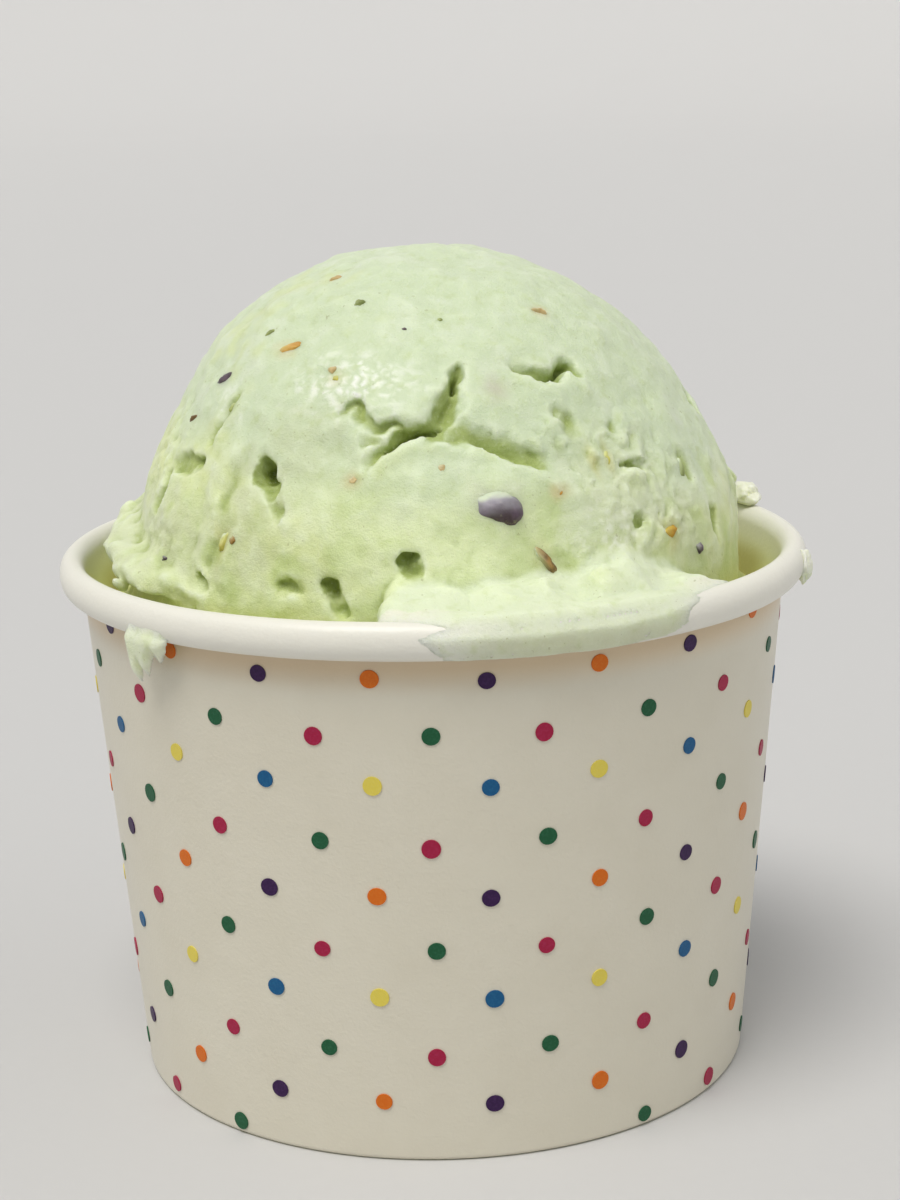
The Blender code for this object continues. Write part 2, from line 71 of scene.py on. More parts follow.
class Wire:
    def __init__(self, tree, socket=None):
        self.tree = tree
        self.socket = socket

    def node(self, kind, settings=None, inputs=None, output=0):
        made = self.tree.nodes.new(kind)
        for key, value in (settings or {}).items():
            setattr(made, key, value)
        for key, value in (inputs or {}).items():
            if isinstance(value, Wire):
                self.tree.links.new(value.socket, made.inputs[key])
            else:
                made.inputs[key].default_value = value
        return Wire(self.tree, made.outputs[output])

    def maths(self, operation, *values):
        # With no values the operation works on this wire alone
        return self.node("ShaderNodeMath", {"operation": operation}, dict(enumerate(values or (self,))))

    def clamp(self):
        return self.maths("MINIMUM", self.maths("MAXIMUM", self, 0.0), 1.0)

    def rise(self, low, high):
        # 0 below low, 1 above high and smooth between
        inputs = {"Value": self, "From Min": low, "From Max": high}
        return self.node("ShaderNodeMapRange", {"interpolation_type": "SMOOTHSTEP"}, inputs)

    def blend(self, first, second):
        # This wire is the share of the second colour
        inputs = {"Factor": self, 6: first, 7: second}
        return self.node("ShaderNodeMix", {"data_type": "RGBA"}, inputs, 2)

    def split(self):
        parts = self.node("ShaderNodeSeparateXYZ", None, {"Vector": self})
        return [Wire(self.tree, socket) for socket in parts.socket.node.outputs]

    def cloud(self, grain, detail=3.0, rough=0.55):
        # Noise at this place, whose lumps are about the grain in size, in millimetres
        inputs = {"Vector": self, "Scale": 1 / (grain * mm), "Detail": detail, "Roughness": rough}
        return self.node("ShaderNodeTexNoise", None, inputs)


operators = {
    "__add__": "ADD", "__sub__": "SUBTRACT", "__mul__": "MULTIPLY", "__truediv__": "DIVIDE",
    "__mod__": "FLOORED_MODULO", "__gt__": "GREATER_THAN", "__lt__": "LESS_THAN",
}
for operator, operation in operators.items():
    setattr(Wire, operator, lambda self, other, kind=operation: self.maths(kind, self, other))
Wire.__radd__ = Wire.__add__
Wire.__rsub__ = lambda self, other: self.maths("SUBTRACT", other, self)


def srgb(*colour):
    # A colour as seen on a screen, 0 to 255, made linear and opaque
    shares = [value / 255 for value in colour]
    return (*[s / 12.92 if s <= 0.04045 else ((s + 0.055) / 1.055) ** 2.4 for s in shares], 1)


def newMaterial(name):
    # The second result is the wire of the place that a point has on its piece
    material = bpy.data.materials.new(name)
    material.use_nodes = True
    material.node_tree.nodes.clear()
    return material, Wire(material.node_tree).node("ShaderNodeTexCoord", output=3)


def finishMaterial(wire, fixed, colour, roughness, height=None, heightDepth=0.0001):
    # The Principled shader: fixed values on its own sockets, then what changes over the surface
    shader = wire.tree.nodes.new("ShaderNodeBsdfPrincipled")
    output = wire.tree.nodes.new("ShaderNodeOutputMaterial")
    wire.tree.links.new(shader.outputs[0], output.inputs[0])
    for key, value in fixed.items():
        shader.inputs[key].default_value = value
    wire.tree.links.new(colour.socket, shader.inputs["Base Color"])
    wire.tree.links.new(roughness.socket, shader.inputs["Roughness"])
    if height is not None:
        bump = wire.node("ShaderNodeBump", None, {"Height": height, "Strength": 1.0, "Distance": heightDepth})
        wire.tree.links.new(bump.socket, shader.inputs["Normal"])


def meshObject(name, mesh):
    piece = bpy.data.objects.new(name, mesh)
    bpy.context.scene.collection.objects.link(piece)
    return piece


# Camera: the photograph's place and view angle, worked out from the print and the rim

camera = {
    "target height": 30.0, "distance": 257.6, "elevation": 17.11,
    "turn left": 0.37, "tilt up": 3.78, "roll": -1.54, "lens": 73.43,
}


def makeCamera():
    up = math.radians(camera["elevation"])
    back = Vector((0, -math.cos(up), math.sin(up)))
    right = Vector((1, 0, 0))
    frameAxes = Matrix((right, back.cross(right), back)).transposed().to_4x4()
    frameAxes.translation = (Vector((0, 0, camera["target height"])) + back * camera["distance"]) * mm
    turn = Matrix.Rotation(-math.radians(camera["turn left"]), 4, "Y")
    tilt = Matrix.Rotation(math.radians(camera["tilt up"]), 4, "X")
    roll = Matrix.Rotation(math.radians(camera["roll"]), 4, "Z")
    data = bpy.data.cameras.new("camera")
    data.lens = camera["lens"]
    data.sensor_width = 36
    data.clip_start = 0.01
    eye = meshObject("camera", data)
    eye.matrix_world = frameAxes @ turn @ tilt @ roll
    bpy.context.scene.camera = eye


makeCamera()
print("camera placed")


# Light and floor

lights = {
    "key": {"from": (-0.22, -0.40, 1.0), "soft": 30, "strength": 2.1, "colour": (1.0, 0.98, 0.94)},
    "left fill": {"from": (-1.0, -0.30, 0.35), "soft": 70, "strength": 0.55, "colour": (1.0, 0.98, 0.95)},
    "right fill": {"from": (1.0, -0.25, 0.40), "soft": 70, "strength": 0.68, "colour": (1.0, 0.98, 0.95)},
}
surroundings = {
    "colour": (0.93, 0.95, 0.97), "strength": 0.45, "floor": (0.56, 0.555, 0.55),
    "flat radius": 2.2, "sweep radius": 1.6, "sweep height": 1.9, "rings": 24, "spokes": 96,
}


def makeLights():
    for name, spec in lights.items():
        data = bpy.data.lights.new(name, "SUN")
        data.angle = math.radians(spec["soft"])
        data.energy = spec["strength"]
        data.color = spec["colour"]
        lamp = meshObject(name, data)
        lamp.matrix_world = Vector(spec["from"]).to_track_quat("Z", "Y").to_matrix().to_4x4()
    world = bpy.data.worlds.new("room")
    world.use_nodes = True
    sky = world.node_tree.nodes["Background"]
    sky.inputs["Color"].default_value = (*surroundings["colour"], 1)
    sky.inputs["Strength"].default_value = surroundings["strength"]
    bpy.context.scene.world = world
    bpy.context.scene.view_settings.view_transform = "Standard"


def makeFloor():
    # A round floor that sweeps up at its far edge, so that no horizon shows
    outline = [(0.25, 0), (1.0, 0), (surroundings["flat radius"], 0)]
    for i in range(1, surroundings["rings"] + 1):
        turn = math.pi / 2 * i / surroundings["rings"]
        outline.append((surroundings["flat radius"] + surroundings["sweep radius"] * math.sin(turn),
                        surroundings["sweep height"] * (1 - math.cos(turn))))
    made = bmesh.new()
    verts = [made.verts.new((r, 0, z)) for r, z in outline]
    edges = [made.edges.new(pair) for pair in zip(verts, verts[1:])]
    bmesh.ops.spin(made, geom=verts + edges, cent=(0, 0, 0), axis=(0, 0, 1), angle=math.tau,
                   steps=surroundings["spokes"], use_merge=True)
    bmesh.ops.holes_fill(made, edges=[e for e in made.edges if e.is_boundary and e.verts[0].co.z < 0.1])
    bmesh.ops.recalc_face_normals(made, faces=made.faces)
    mesh = bpy.data.meshes.new("floor")
    made.to_mesh(mesh)
    made.free()
    mesh.shade_smooth()
    material, place = newMaterial("floor")
    speck = place.cloud(1.5)
    tone = speck.blend((*surroundings["floor"], 1), (*[c * 1.03 for c in surroundings["floor"]], 1))
    finishMaterial(place, {}, tone, speck * 0.1 + 0.6)
    mesh.materials.append(material)
    meshObject("floor", mesh)


makeLights()
makeFloor()
print("light and floor made")


# Turned pieces: an outline swept round the cup's axis by Geometry Nodes

def newTree(name, floats, integers):
    # A Geometry Nodes group with a geometry input, the named inputs and a material
    tree = bpy.data.node_groups.new(name, "GeometryNodeTree")
    tree.interface.new_socket("Geometry", in_out="INPUT", socket_type="NodeSocketGeometry")
    for kind, labels in (("Float", floats), ("Int", integers), ("Material", ["Material"])):
        for label in labels:
            tree.interface.new_socket(label, in_out="INPUT", socket_type="NodeSocket" + kind)
    tree.interface.new_socket("Geometry", in_out="OUTPUT", socket_type="NodeSocketGeometry")
    start = tree.nodes.new("NodeGroupInput")
    sockets = {socket.name: Wire(tree, socket) for socket in start.outputs if socket.name}
    return tree, Wire(tree), sockets


def endTree(wire, shape, material):
    # Every tree ends by making its instances real and giving them their material
    real = wire.node("GeometryNodeRealizeInstances", None, {"Geometry": shape})
    coated = wire.node("GeometryNodeSetMaterial", None, {"Geometry": real, "Material": material})
    end = wire.tree.nodes.new("NodeGroupOutput")
    wire.tree.links.new(coated.socket, end.inputs[0])


def runTree(name, mesh, tree, values):
    # Applies a tree to a mesh and returns the result as a plain mesh object
    carrier = meshObject(name, mesh)
    modifier = carrier.modifiers.new(name, "NODES")
    modifier.node_group = tree
    keys = {item.name: item.identifier for item in tree.interface.items_tree if item.in_out == "INPUT"}
    for label, value in values.items():
        modifier[keys[label]] = value
    graph = bpy.context.evaluated_depsgraph_get()
    made = bpy.data.meshes.new_from_object(carrier.evaluated_get(graph))
    carrier.modifiers.clear()
    bpy.data.objects.remove(carrier, do_unlink=True)
    made.name = name
    return meshObject(name, made)


def makeTurnedTree():
    tree, wire, given = newTree("turnedOutline", ["Guide Radius"], ["Segments"])
    outline = wire.node("GeometryNodeMeshToCurve", None, {"Mesh": given["Geometry"]})
    guide = wire.node("GeometryNodeCurvePrimitiveCircle", None,
                      {"Resolution": given["Segments"], "Radius": given["Guide Radius"]})
    turned = wire.node("GeometryNodeCurveToMesh", None, {"Curve": guide, "Profile Curve": outline})
    smooth = wire.node("GeometryNodeSetShadeSmooth", None, {"Geometry": turned})
    endTree(wire, smooth, given["Material"])
    return tree


turnedTree = makeTurnedTree()


def arc(centre, radius, start, end, steps, stretch=1.0):
    points = []
    for i in range(steps + 1):
        turn = math.radians(start + (end - start) * i / steps)
        points.append((centre[0] + radius * math.cos(turn), centre[1] + radius * stretch * math.sin(turn)))
    return points


def thicken(path, thickness):
    # Both sides of a strip of paper whose middle follows the path
    points = np.array(path)
    along = np.gradient(points, axis=0)
    along /= np.linalg.norm(along, axis=1)[:, None]
    across = np.stack([along[:, 1], -along[:, 0]], axis=1) * thickness / 2
    return [tuple(p) for p in points + across] + [tuple(p) for p in (points - across)[::-1]]


def turnOutline(name, outline, material):
    guide = cup["foot radius"]
    mesh = bpy.data.meshes.new(name)
    count = len(outline)
    points = [((r - guide) * mm, -z * mm, 0) for r, z in outline]
    mesh.from_pydata(points, [(i, (i + 1) % count) for i in range(count)], [])
    values = {"Guide Radius": guide * mm, "Segments": cup["segments"], "Material": material}
    return runTree(name, mesh, turnedTree, values)


def makePaperMaterial():
    # Coated white board: faint fibres, a warm mottle, painted light and shade, and a green cast inside
    material, place = newMaterial("coated paper")
    x, y, z = place.split()
    radius = (x * x + y * y).maths("SQRT")
    middle = z * wallSlope + (cup["foot radius"] - cup["paper"] / 2) * mm
    inside = (middle - radius).rise(0.0, 0.1 * mm)
    wetAndGreenLight = inside * (1 - z.rise(47.0 * mm, 54.2 * mm))
    fibre = place.cloud(0.35, 4.0)
    mottle = place.cloud(7.0, 2.0)
    # Painted light and shade: the wall's tone is darker and the rolled rim above it lighter, though both are
    # the same board
    board = mottle.blend(srgb(214, 208, 189), srgb(222, 217, 200))
    board = z.rise(49.4 * mm, 50.8 * mm).blend(board, srgb(233, 231, 220))
    # Painted shadow: a warm brown band on the outer wall just under the rolled rim
    underRimShadow = z.rise(46.6 * mm, 50.2 * mm) * (1 - z.rise(50.2 * mm, 50.9 * mm)) * (1 - inside)
    board = (underRimShadow * 0.65).blend(board, srgb(212, 180, 132))
    board = (fibre * 0.10).blend(board, srgb(205, 198, 182))
    # The green cast inside: partly where gelato has wetted the board, partly painted light, green light from
    # the gelato painted bright against the shade in the tub
    board = (wetAndGreenLight * (mottle * 0.3 + 0.70)).blend(board, srgb(250, 251, 190))
    # Painted shadow: olive, low on the inner wall towards the back, where the scoop shades it
    moatShadow = inside * y.rise(3 * mm, 9 * mm) * (1 - z.rise(48.6 * mm, 51.4 * mm))
    board = (moatShadow * 0.8).blend(board, srgb(196, 186, 118))
    fixed = {"Coat Weight": 0.25, "Coat Roughness": 0.3, "Specular IOR Level": 0.45,
             "Subsurface Weight": 0.06, "Subsurface Radius": (0.002, 0.0018, 0.0014)}
    height = fibre * 0.6 + place.cloud(2.5, 2.0) * 0.8
    finishMaterial(place, fixed, board, fibre * 0.14 + 0.36, height, 0.00006)
    return material


paper = makePaperMaterial()


def wallOutline():
    middle = cup["paper"] / 2
    fold = cup["foot radius"] - cup["foot width"] + middle
    wall = cup["foot radius"] - middle
    level = middle + cup["foot corner"]
    curl = cup["rim half width"] - middle
    stretch = (cup["rim half height"] - middle) / curl
    path = [(fold + wallSlope * cup["fold top"], cup["fold top"]), (fold + wallSlope * 2.5, 2.5)]
    path += arc((fold + cup["foot corner"], level), cup["foot corner"], 180, 270, 8)
    path += arc((wall - cup["foot corner"], level), cup["foot corner"], 270, 360, 8)
    first = path[-1]
    last = (rimMiddleRadius - curl, rimMiddleHeight)
    for i in range(1, 24):
        share = i / 24
        path.append((first[0] + (last[0] - first[0]) * share, first[1] + (last[1] - first[1]) * share))
    path += arc((rimMiddleRadius, rimMiddleHeight), curl, 180, cup["curl end"], 44, stretch)
    return thicken(path, cup["paper"])


def smoothStep(x):
    x = np.clip(x, 0.0, 1.0)
    return x * x * (3 - 2 * x)


def raiseLap(piece):
    # The blank's outer end lies over its inner end at the back, and the rim is never quite even
    top = cup["height"] - 2 * cup["rim half height"]
    for vert in piece.data.vertices:
        radius, height = math.hypot(vert.co.x, vert.co.y) / mm, vert.co.z / mm
        azimuth = math.degrees(math.atan2(vert.co.x, -vert.co.y)) % 360
        offset = azimuth - cup["lap azimuth"]
        outer = 0 < height < top and radius > wallRadius(height) - cup["paper"] / 4
        if outer and -0.4 < offset < cup["lap width"]:
            fade = min(1.0, height / 1.5, (top - height) / 0.6)
            radius += cup["lap step"] * fade * float(1 - smoothStep(offset / cup["lap width"]))
        if height > top:
            turn = math.radians(azimuth)
            radius += 0.05 * noise.noise(Vector((math.cos(turn) * 2.5, math.sin(turn) * 2.5, 5)))
            height += 0.06 * noise.noise(Vector((math.cos(turn) * 3, math.sin(turn) * 3, 9)))
        vert.co = atAzimuth(azimuth, radius, height) * mm


cupWall = turnOutline("cupWall", wallOutline(), paper)
raiseLap(cupWall)
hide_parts("cup_wall")
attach(cupWall, "root")


def baseOutline():
    middle = cup["foot radius"] - cup["paper"] - base["gap"] - cup["paper"] / 2
    skirtTop = middle + wallSlope * base["height"]
    half = cup["paper"] / 2
    low = base["skirt end"]
    corner = base["corner"]
    nearAxis = 0.02
    outline = [(nearAxis, baseTop), (12, baseTop), (24, baseTop)]
    outline += arc((skirtTop + half - corner, baseTop - corner), corner, 90, 0, 8)
    outline += [(middle + wallSlope * low + half, low), (middle + wallSlope * low - half, low)]
    outline += [(skirtTop - half, base["height"] - 0.4), (skirtTop - half - 0.4, base["height"])]
    outline += [(24, base["height"]), (12, base["height"]), (nearAxis, base["height"])]
    return outline


cupBase = turnOutline("cupBase", baseOutline(), paper)
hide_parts("cup_base")
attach(cupBase, "root")
print("cup turned")


# Print: a square lattice of dots on the flat blank, laid round the cone by Geometry Nodes

dots = {
    "pitch": 5.32, "first row": 48.46, "radius": 0.86, "sides": 20, "depth": 0.12, "proud": 0.02,
    "rows above": 2, "rows": 18, "columns": 48, "clear foot": 1.1, "clear rim": 0.4, "shift": -0.8,
}
inks = {
    "purple": {"colour": (46, 8, 66), "row": 0, "turn": 0, "slip": (0.0, 0.0)},
    "orange": {"colour": (212, 104, 10), "row": 0, "turn": 1, "slip": (0.10, 0.36)},
    "blue": {"colour": (4, 84, 132), "row": 2, "turn": 0, "slip": (0.17, 0.33)},
    "yellow": {"colour": (222, 204, 84), "row": 2, "turn": 1, "slip": (0.03, 0.68)},
    "green": {"colour": (16, 84, 50), "row": 1, "turn": 0, "slip": (0.18, 0.22)},
    "crimson": {"colour": (160, 16, 62), "row": 1, "turn": 1, "slip": (-0.07, -0.14)},
}
coneAngle = math.atan(wallSlope)


def makeDotTree():
    # Each lattice point gets one disc. A row's number picks its two inks, and they take turns along it
    floats = ["Pitch", "First Row", "Shift", "Dot Radius", "Slip Across", "Slip Up"]
    tree, wire, given = newTree("printedDots", floats, ["Ink Row", "Ink Turn", "Seed"])
    count = dots["rows"] * dots["columns"]
    points = wire.node("GeometryNodePoints", None, {"Count": count})
    index = wire.node("GeometryNodeInputIndex")
    row = (index / dots["columns"]).maths("FLOOR") - dots["rows above"]
    column = index % dots["columns"] - dots["columns"] / 2
    # Even rows hold odd columns, odd rows hold even ones, and every second pair of rows swaps its inks
    step = row % 4
    isOdd = step % 2
    onLattice = ((column + isOdd + 1) % 2) < 0.5
    place = (column - (1 - isOdd)) / 2
    turn = place.maths("FLOOR") % 2
    swapped = (step > 2.5)
    turnNow = (turn + swapped) % 2
    rowPicked = isOdd * (given["Ink Row"] % 2) + (1 - isOdd) * (1 - given["Ink Row"] % 2) * (
        (step - given["Ink Row"]).maths("ABSOLUTE") < 0.5)
    inkPicked = (turnNow - given["Ink Turn"]).maths("ABSOLUTE") < 0.5
    sheetX = column * given["Pitch"] + given["Shift"] + given["Slip Across"]
    apex = cup["foot radius"] / math.sin(coneAngle)
    sheetY = apex + given["First Row"] - row * given["Pitch"] + given["Slip Up"]
    reach = (sheetX * sheetX + sheetY * sheetY).maths("SQRT")
    turned = sheetX.maths("ARCTAN2", sheetX, sheetY) / math.sin(coneAngle)
    height = (reach - apex) * math.cos(coneAngle)
    # The print runs on over the lap at the back
    lap = 1 - turned.rise(-math.pi, math.radians(cup["lap width"]) - math.pi)
    radius = (reach * math.sin(coneAngle) + dots["proud"] + lap * cup["lap step"]) * mm
    top = cup["height"] - 2 * cup["rim half height"] - dots["clear rim"]
    inSheet = (height > dots["clear foot"]) * (height < top) * (turned < math.pi) * (turned > -math.pi)
    chosen = onLattice * rowPicked * inkPicked * inSheet
    spot = wire.node("ShaderNodeCombineXYZ", None, {
        "X": radius * turned.maths("SINE"), "Y": 0 - radius * turned.maths("COSINE"),
        "Z": height * mm})
    placed = wire.node("GeometryNodeSetPosition", None, {"Geometry": points, "Position": spot})
    disc = wire.node("GeometryNodeMeshCylinder", {"fill_type": "NGON"}, {
        "Vertices": dots["sides"], "Radius": given["Dot Radius"] * mm, "Depth": dots["depth"] * mm})
    tilt = wire.node("ShaderNodeCombineXYZ", None, {"X": math.pi / 2 + coneAngle, "Y": 0.0, "Z": turned})
    uneven = wire.node("FunctionNodeRandomValue", {"data_type": "FLOAT"},
                       {2: 0.93, 3: 1.06, "Seed": given["Seed"]}, 1)
    squash = wire.node("FunctionNodeRandomValue", {"data_type": "FLOAT"},
                       {2: 0.95, 3: 1.05, "Seed": given["Seed"] + 7}, 1)
    size = wire.node("ShaderNodeCombineXYZ", None, {"X": uneven, "Y": uneven * squash, "Z": 1.0})
    laid = wire.node("GeometryNodeInstanceOnPoints", None, {
        "Points": placed, "Selection": chosen, "Instance": disc, "Rotation": tilt, "Scale": size})
    endTree(wire, laid, given["Material"])
    return tree


def makeInk(name, colour):
    # Flat ink that lets a little of the board's grain through
    material, place = newMaterial(name + " ink")
    grain = place.cloud(0.25, 3.0)
    full = srgb(*colour)
    thin = srgb(*[c + (225 - c) * 0.08 for c in colour])
    tone = grain.rise(0.42, 0.72).blend(full, thin)
    fixed = {"Specular IOR Level": 0.25, "Coat Weight": 0.08, "Coat Roughness": 0.3}
    finishMaterial(place, fixed, tone, grain * 0.15 + 0.42, grain, 0.00003)
    return material


def makePrint():
    tree = makeDotTree()
    for seed, (name, ink) in enumerate(inks.items()):
        values = {
            "Pitch": dots["pitch"], "First Row": dots["first row"], "Shift": dots["shift"],
            "Dot Radius": dots["radius"], "Ink Row": ink["row"], "Ink Turn": ink["turn"],
            "Slip Across": ink["slip"][0], "Slip Up": ink["slip"][1], "Seed": seed,
            "Material": makeInk(name, ink["colour"]),
        }
        piece = runTree("dots" + name.capitalize(), bpy.data.meshes.new("blank"), tree, values)
        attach(piece, "root")
        print("printed", name, "dots:", len(piece.data.polygons) // (dots["sides"] + 2))


makePrint()


# Gelato: a field that is negative inside the gelato, meshed on a fine grid

scoop = {
    "centre": 54.0, "step": 20,
    "left": [30.1, 30.2, 30.05, 29.2, 29.8, 31.2],
    "right": [30.1, 29.85, 29.9, 29.75, 31.0, 31.4],
    "foot radius": 31.1, "foot height": 49.7, "moat depth": 7.5, "front moat depth": 3.6,
    "join": 1.0, "fill bottom": baseTop + 0.3, "cut": 41.5,
    "wall gap": 0.02, "detail reach": 2.6, "loose zone": (28, 40, 48, 61), "skin in rim": 0.28,
    "low": (-36.0, -40.0, 40.0), "high": (36.0, 36.5, 86.0),
    "grid": 0.27, "triangles": 185000,
}
# Soft swells of the surface: place, half width, half height, rise
swells = [
    (5, 69.5, 9.0, 5.5, 0.7), (-8, 54.5, 6.0, 4.0, 0.5), (18, 55, 7.0, 5.0, 0.4), (38, 76, 6.0, 5.0, 0.4),
    (-36, 60, 6.0, 7.0, 0.25), (-60, 80, 5.0, 4.0, 0.4), (-20, 78, 6.0, 4.0, 0.3), (12, 73, 3.6, 3.2, 0.75),
]
# Tears: the path of the bottom, how deep each of its points is as a share, depth, how wide the slopes are on
# the left-hand and the right-hand side of the path (seen from outside), how deep a fine line runs along the
# bottom, and the lip beside it: offset in azimuth and in angle from the top, half width and height
tears = [
    ([(7.0, 46.9), (6.2, 49.0), (5.2, 51.4)], [0.5, 1, 0.9], 1.7, (0.8, 0.8), 0.5, (-2.6, 0, 1.2, 0.15)),
    ([(5.0, 51.4), (3.8, 53.6), (2.2, 56.0), (0.6, 58.6)],
     [0.8, 1, 1, 0.8], 1.35, (1.9, 1.4), 0.2, (-4.0, 0, 1.3, 0.2)),
    ([(-10.8, 65.0), (-8.4, 62.2), (-6.4, 60.5), (-4.4, 59.5), (-1.5, 59.2), (1.6, 58.8)],
     [0.3, 0.7, 1, 1, 1, 0.8], 1.5, (1.3, 0.5), 0.6, (0.3, 2.4, 1.3, 0.3)),
    ([(0.6, 59.6), (4.0, 60.2), (8.0, 60.8), (11.0, 61.9), (14.0, 63.6), (17.0, 65.0), (20.6, 66.4),
      (23.6, 66.9)], [0.5, 0.45, 0.7, 1, 1, 1, 0.8, 0.2], 1.15, (2.2, 0.8), 0.25, (0, 2.6, 1.3, 0.2)),
    ([(-18.6, 54.8), (-16.4, 52.8), (-14.9, 54.0), (-13.8, 57.0)],
     [0.4, 0.8, 1, 0.8], 0.7, (0.6, 1.2), 0.4, (2.6, 0, 1.2, 0.1)),
    ([(-13.6, 57.2), (-10.4, 58.0), (-7.6, 57.0), (-5.0, 58.2)],
     [0.5, 1, 0.9, 0.8], 0.8, (0.6, 1.3), 0.3, (0, -3.0, 1.4, 0.15)),
    ([(-13.6, 60.9), (-11.6, 60.3), (-9.6, 61.9)], [0.5, 1, 0.5], 0.4, (0.6, 0.6), 0.1, (0, 2.2, 1.0, 0.2)),
    ([(21.2, 47.6), (24.6, 48.9), (28.0, 50.2), (31.0, 50.3)],
     [0.3, 0.8, 1, 1], 1.15, (1.5, 0.45), 0.4, (0, 2.2, 1.2, 0.2)),
    ([(31.0, 50.3), (33.2, 48.9), (35.0, 47.6), (37.0, 47.4), (37.8, 49.4)],
     [1, 1, 1, 0.9, 0.4], 1.3, (0.9, 0.7), 0.6, (0, 3.0, 1.4, 0.2)),
    ([(28.6, 57.2), (30.2, 58.6), (29.8, 61.2)], [0.6, 1, 0.5], 0.55, (1.2, 1.2), 0.0, (-3, 0, 1.4, 0.15)),
    ([(40.2, 68.4), (42.0, 68.7), (44.2, 69.5)], [0.5, 1, 0.5], 0.7, (0.8, 0.5), 0.4, (0, 2.2, 1.0, 0.15)),
    ([(-48.6, 53.6), (-50.2, 56.6), (-51.4, 59.6), (-53.2, 62.6)],
     [0.3, 0.9, 1, 0.5], 0.75, (0.5, 1.0), 0.3, (2.4, 0, 1.2, 0.2)),
    ([(-41.0, 65.0), (-43.2, 71.0), (-41.8, 78.0), (-43.8, 85.0), (-41.0, 92.0)],
     [0.4, 1, 1, 1, 0.6], 0.35, (1.8, 0.9), 0.0, (-3.2, 0, 1.9, 0.5)),
    ([(-66.0, 70.6), (-64.5, 74.0), (-66.0, 78.0)], [0.5, 1, 0.5], 0.8, (0.7, 0.9), 0.3, (-2.4, 0, 1.2, 0.3)),
    ([(118, 50), (125, 53), (131, 57), (140, 55), (152, 63)],
     [0.4, 1, 1, 1, 0.4], 1.7, (1.7, 0.6), 0.6, (0, 3.0, 1.8, 0.4)),
    ([(-171, 66), (-163, 70), (-157, 68), (-150, 66)],
     [0.4, 1, 1, 0.4], 1.6, (1.6, 0.6), 0.5, (0, 3.0, 1.6, 0.4)),
]
# Pits: place, half width, half height, depth, lean in degrees
pits = [
    (-34.4, 67.0, 1.25, 1.5, 2.7, 10), (-32.4, 70.0, 0.95, 1.2, 1.2, 20), (-30.0, 74.0, 0.8, 1.5, 0.45, 15),
    (-60.5, 68.3, 2.5, 1.2, 0.8, 8), (-55.0, 67.4, 0.9, 0.8, 1.2, 0), (-17.9, 87.2, 0.9, 1.3, 1.8, 25),
    (-16.0, 90.4, 0.7, 1.2, 1.4, 30), (-4.6, 81.4, 0.8, 0.6, 1.5, 0), (-3.4, 83.6, 0.75, 1.0, 1.3, 20),
    (-2.6, 86.6, 0.75, 0.6, 1.5, 0), (-26.0, 87.0, 1.5, 0.9, 0.8, -10), (58.1, 71.5, 0.9, 1.6, 0.5, 8),
    (40.9, 61.5, 0.6, 0.5, 0.5, 0), (39.7, 78.7, 0.9, 0.7, 0.4, 0), (63.3, 82.7, 0.7, 1.8, 0.8, 6),
    (-46.0, 88.6, 1.2, 1.0, 1.2, -20), (104, 74, 1.8, 1.3, 1.6, 20), (168, 44, 1.3, 1.9, 1.5, -20),
    (-118, 58, 2.0, 1.2, 1.5, 15), (-135, 80, 1.2, 1.9, 1.6, 0), (146, 78, 1.1, 1.5, 1.3, 10),
    (-92, 47, 0.9, 1.3, 1.0, 30), (84, 62, 0.9, 1.4, 1.1, -15), (-175, 84, 1.8, 1.0, 1.4, 0),
]
# Rough, flaky fields: place, reach along and down in millimetres, height
roughFields = [
    (40, 68, 11.0, 7.0, 1.0), (46, 80, 8.0, 5.0, 0.9), (27, 62, 5.0, 4.0, 0.75), (-12, 57, 4.0, 2.6, 0.4),
    (-70, 66, 8.0, 9.0, 0.6), (-62, 84, 9.0, 4.0, 0.7), (26, 83, 6.0, 2.6, 0.45), (-2, 84, 3.5, 2.5, 0.4),
    (130, 60, 12.0, 9.0, 0.6), (-140, 72, 14.0, 9.0, 0.6), (178, 60, 9.0, 12.0, 0.45),
    (92, 80, 9.0, 5.0, 0.6),
]
